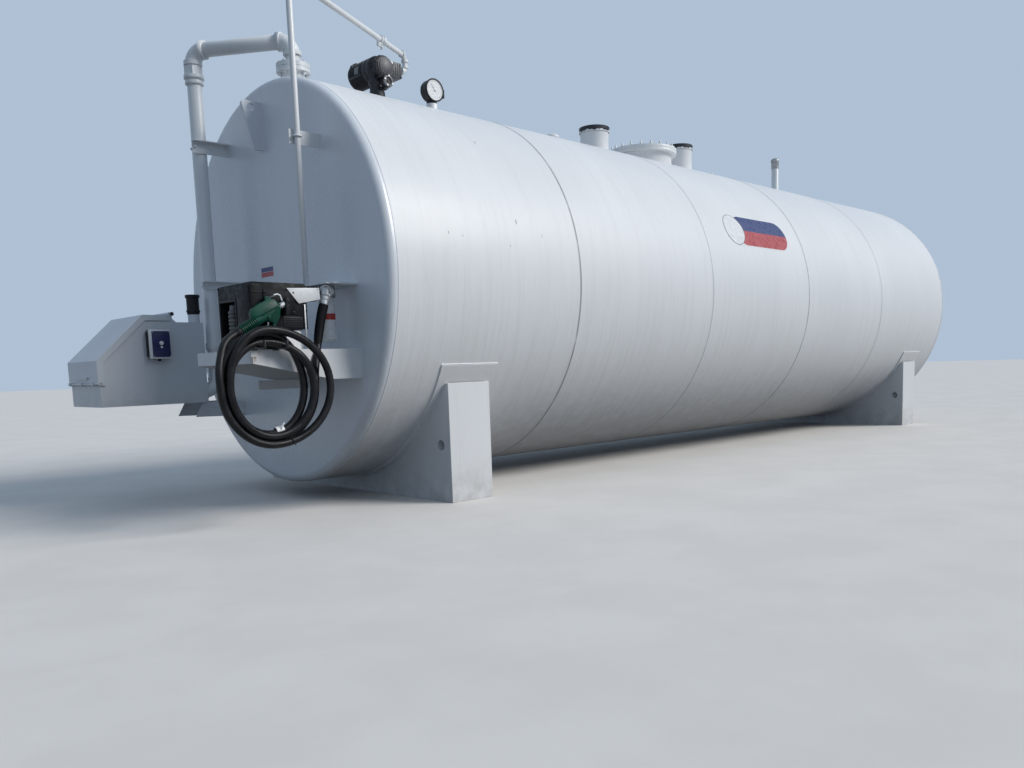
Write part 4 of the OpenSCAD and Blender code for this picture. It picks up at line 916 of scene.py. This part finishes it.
def bead(points, r=4.0, sides=8):
    """A bead with the ripple that a hand-laid one has."""
    wavy = [Vector(q) + Vector((0, 0, 0.35 * math.sin(2.4 * i))) for i, q in enumerate(points)]
    welds.rod(wavy, [r * (1 + 0.12 * math.sin(1.9 * i)) for i in range(len(points))], sides)


def under(x, r, angle):
    """A point under the tank, at an angle from straight down."""
    return x, r * math.sin(deg(angle)), -r * math.cos(deg(angle))


# Round the heads.
for x in (59, 7581):
    ring = [a * math.pi / 120 for a in range(241)]
    bead([(x, (SHELL_R - 1) * math.cos(a), (SHELL_R - 1) * math.sin(a)) for a in ring], 2.6)
# Round the wear plates, and where the saddles meet them.
WEAR_END, WEAR_TOP = 216, 65.2  # half its length along the tank, and the angle up to its top edge
WEB_R, WEB_END = 1228, 159.5
for c in SADDLES:
    for x, r, half in ((c - WEAR_END, SHELL_R, 65), (c + WEAR_END, SHELL_R, 65), (c - WEB_END, WEB_R, 59.4),
                       (c + WEB_END, WEB_R, 59.4)):
        bead([under(x, r, half * (i / 45 - 1)) for i in range(91)], 3.5)
    for side in (-1, 1):
        bead([under(c - WEAR_END + 2 * WEAR_END * i / 40, SHELL_R, side * WEAR_TOP) for i in range(41)], 3.5)
# Beside the lifting lugs.
for x in (-2, 7642):
    for y in (32.5, 55.5):
        bead([(x, y, 826 + 276 * i / 30) for i in range(31)], 3.5)
# Where the shelf, its arm and the box's support meet the near head: from, to, height.
for y0, y1, z in ((-905, -780, -416), (-640, -540, -416), (-400, -300, -416), (-880, -800, -57),
                  (-700, -620, -57), (-325, -280, -579), (500, 600, -708), (690, 790, -708)):
    bead([(-2, y0 + (y1 - y0) * i / 14, z) for i in range(15)], 3.2)
# Round each fitting on top of the tank: its place, and the bead's radius.
for x, y, r in ((3040, 0, 121), (4250, 0, 121), (3690, 0, 261), (2520, 0, 50), (6020, 0, 38), (4790, 0, 60),
                (1300, 0, 51), (795, -45, 49), (220, 0, 46)):
    steps = 48 if r > 100 else 28
    ring = [2 * math.pi * i / steps for i in range(steps + 1)]
    points = [(x + r * math.cos(t), y + r * math.sin(t)) for t in ring]
    bead([(px, py, math.sqrt(SHELL_R ** 2 - py ** 2)) for px, py in points], 4.5)
welds.done()

# -------------------------------- hose
# The hose leaves the swivel, makes three and a half turns, and rises to the nozzle.
coil_x, coil_z, back, front = -590, -600, -970.5, -1010.5
STEPS = 6  # points in a quarter of a turn
# Distance from the coil's centre and layer, at right, bottom, left and top, turn by turn.
quarters = [
    (264, back), (276, back), (248, back), (268, back),
    (197, back), (236, back), (208, back), (223, -972),
    (233, front), (245, front), (217, front), (282, front),
    (329, front), (287, front), (257, -996)]
lead = [hose_start, (-217, -892, -225), (-240, -896, -310), (-262, -908, -390), (-288, -930, -465),
        (-312, -953, -535)]
tail = [(-845, -988, -520), (-822, -966, -450), (-795, -946, -395), (-760, -930, -360), (-715, -922, -334),
        (-636, -922, -289), (-556, -922, -243)]
route = [at(*q) for q in lead]
for k, ((r0, y0), (r1, y1)) in enumerate(zip(quarters, quarters[1:])):
    wide, high = (r0, r1) if k % 2 == 0 else (r1, r0)
    for i in range(STEPS):
        angle = math.pi / 2 * (k + i / STEPS)
        share = min(1, 1.6 * i / STEPS) if y0 > y1 else i / STEPS
        share = share * share * (3 - 2 * share)
        route.append(at(coil_x + wide * math.cos(angle), y0 + (y1 - y0) * share,
                        coil_z - high * math.sin(angle)))
last_r, last_y = quarters[-1]
route.append(at(coil_x - last_r, last_y, coil_z))
route += [at(*q) for q in tail]
curve = bpy.data.curves.new("hose", "CURVE")
curve.dimensions, curve.use_fill_caps = "3D", True
curve.bevel_depth, curve.bevel_resolution, curve.resolution_u = 0.02, 5, 4
spline = curve.splines.new("BEZIER")
spline.bezier_points.add(len(route) - 1)
for i, q in enumerate(route):
    bend = spline.bezier_points[i]
    bend.co = q
    along = route[min(i + 1, len(route) - 1)] - route[max(i - 1, 0)]
    along.normalize()
    before = (q - route[i - 1]).length if i else 0.03
    after = (route[i + 1] - q).length if i + 1 < len(route) else 0.03
    bend.handle_left = q - along * before / 3
    bend.handle_right = q + along * after / 3
    bend.handle_left_type = bend.handle_right_type = "FREE"
curve.materials.append(rubber.material)
hose = bpy.data.objects.new("hose", curve)
scene.collection.objects.link(hose)
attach(hose, "tank")
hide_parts("hose_lead", "hose_tail", "hose_coil")


# -------------------------------- stage
def seen_straight(nodes, links):
    """1 where a backdrop is seen, straight or in metal or glass, and 0 for the light that it sends out."""
    path = nodes.new("ShaderNodeLightPath")
    out = path.outputs["Is Camera Ray"]
    for ray in ("Is Glossy Ray", "Is Transmission Ray"):
        either = nodes.new("ShaderNodeMath")
        either.operation = "MAXIMUM"
        links.new(out, either.inputs[0])
        links.new(path.outputs[ray], either.inputs[1])
        out = either.outputs[0]
    return out


clear()
bpy.ops.mesh.primitive_plane_add(size=140, location=(10, 10, 0))
floor = bpy.context.object
floor.name = "floor"
floor_paint = Finish("floor", rough=0.9)
cloudy = floor_paint.noise(2, EVEN, 5)
lit = floor_paint.mix((0.115, 0.115, 0.115), (0.14, 0.14, 0.14), cloudy)
seen = floor_paint.mix((0.77, 0.74, 0.70), (0.81, 0.78, 0.74), cloudy)
floor_paint.colour(floor_paint.mix(lit, seen, seen_straight(floor_paint.nodes, floor_paint.links)))
floor.data.materials.append(floor_paint.material)

world = bpy.data.worlds.new("world")
scene.world = world
world.use_nodes = True
nodes, links = world.node_tree.nodes, world.node_tree.links
light = nodes["Background"]
light.inputs["Color"].default_value = (0.54, 0.70, 0.92, 1)
light.inputs["Strength"].default_value = 0.45
sky = nodes.new("ShaderNodeBackground")
sky.inputs["Color"].default_value = (0.43, 0.53, 0.66, 1)
pick = nodes.new("ShaderNodeMixShader")
links.new(seen_straight(nodes, links), pick.inputs[0])
links.new(light.outputs[0], pick.inputs[1])
links.new(sky.outputs[0], pick.inputs[2])
links.new(pick.outputs[0], nodes["World Output"].inputs[0])

toward = Vector((0.55, -0.78, 0.62))  # from the tank to the sun
bpy.ops.object.light_add(type="SUN", location=toward * 20, rotation=toward.to_track_quat("Z", "Y").to_euler())
sun = bpy.context.object
sun.name = "key"
sun.data.energy, sun.data.angle, sun.data.color = 2.4, 0.5, (1.0, 0.975, 0.94)
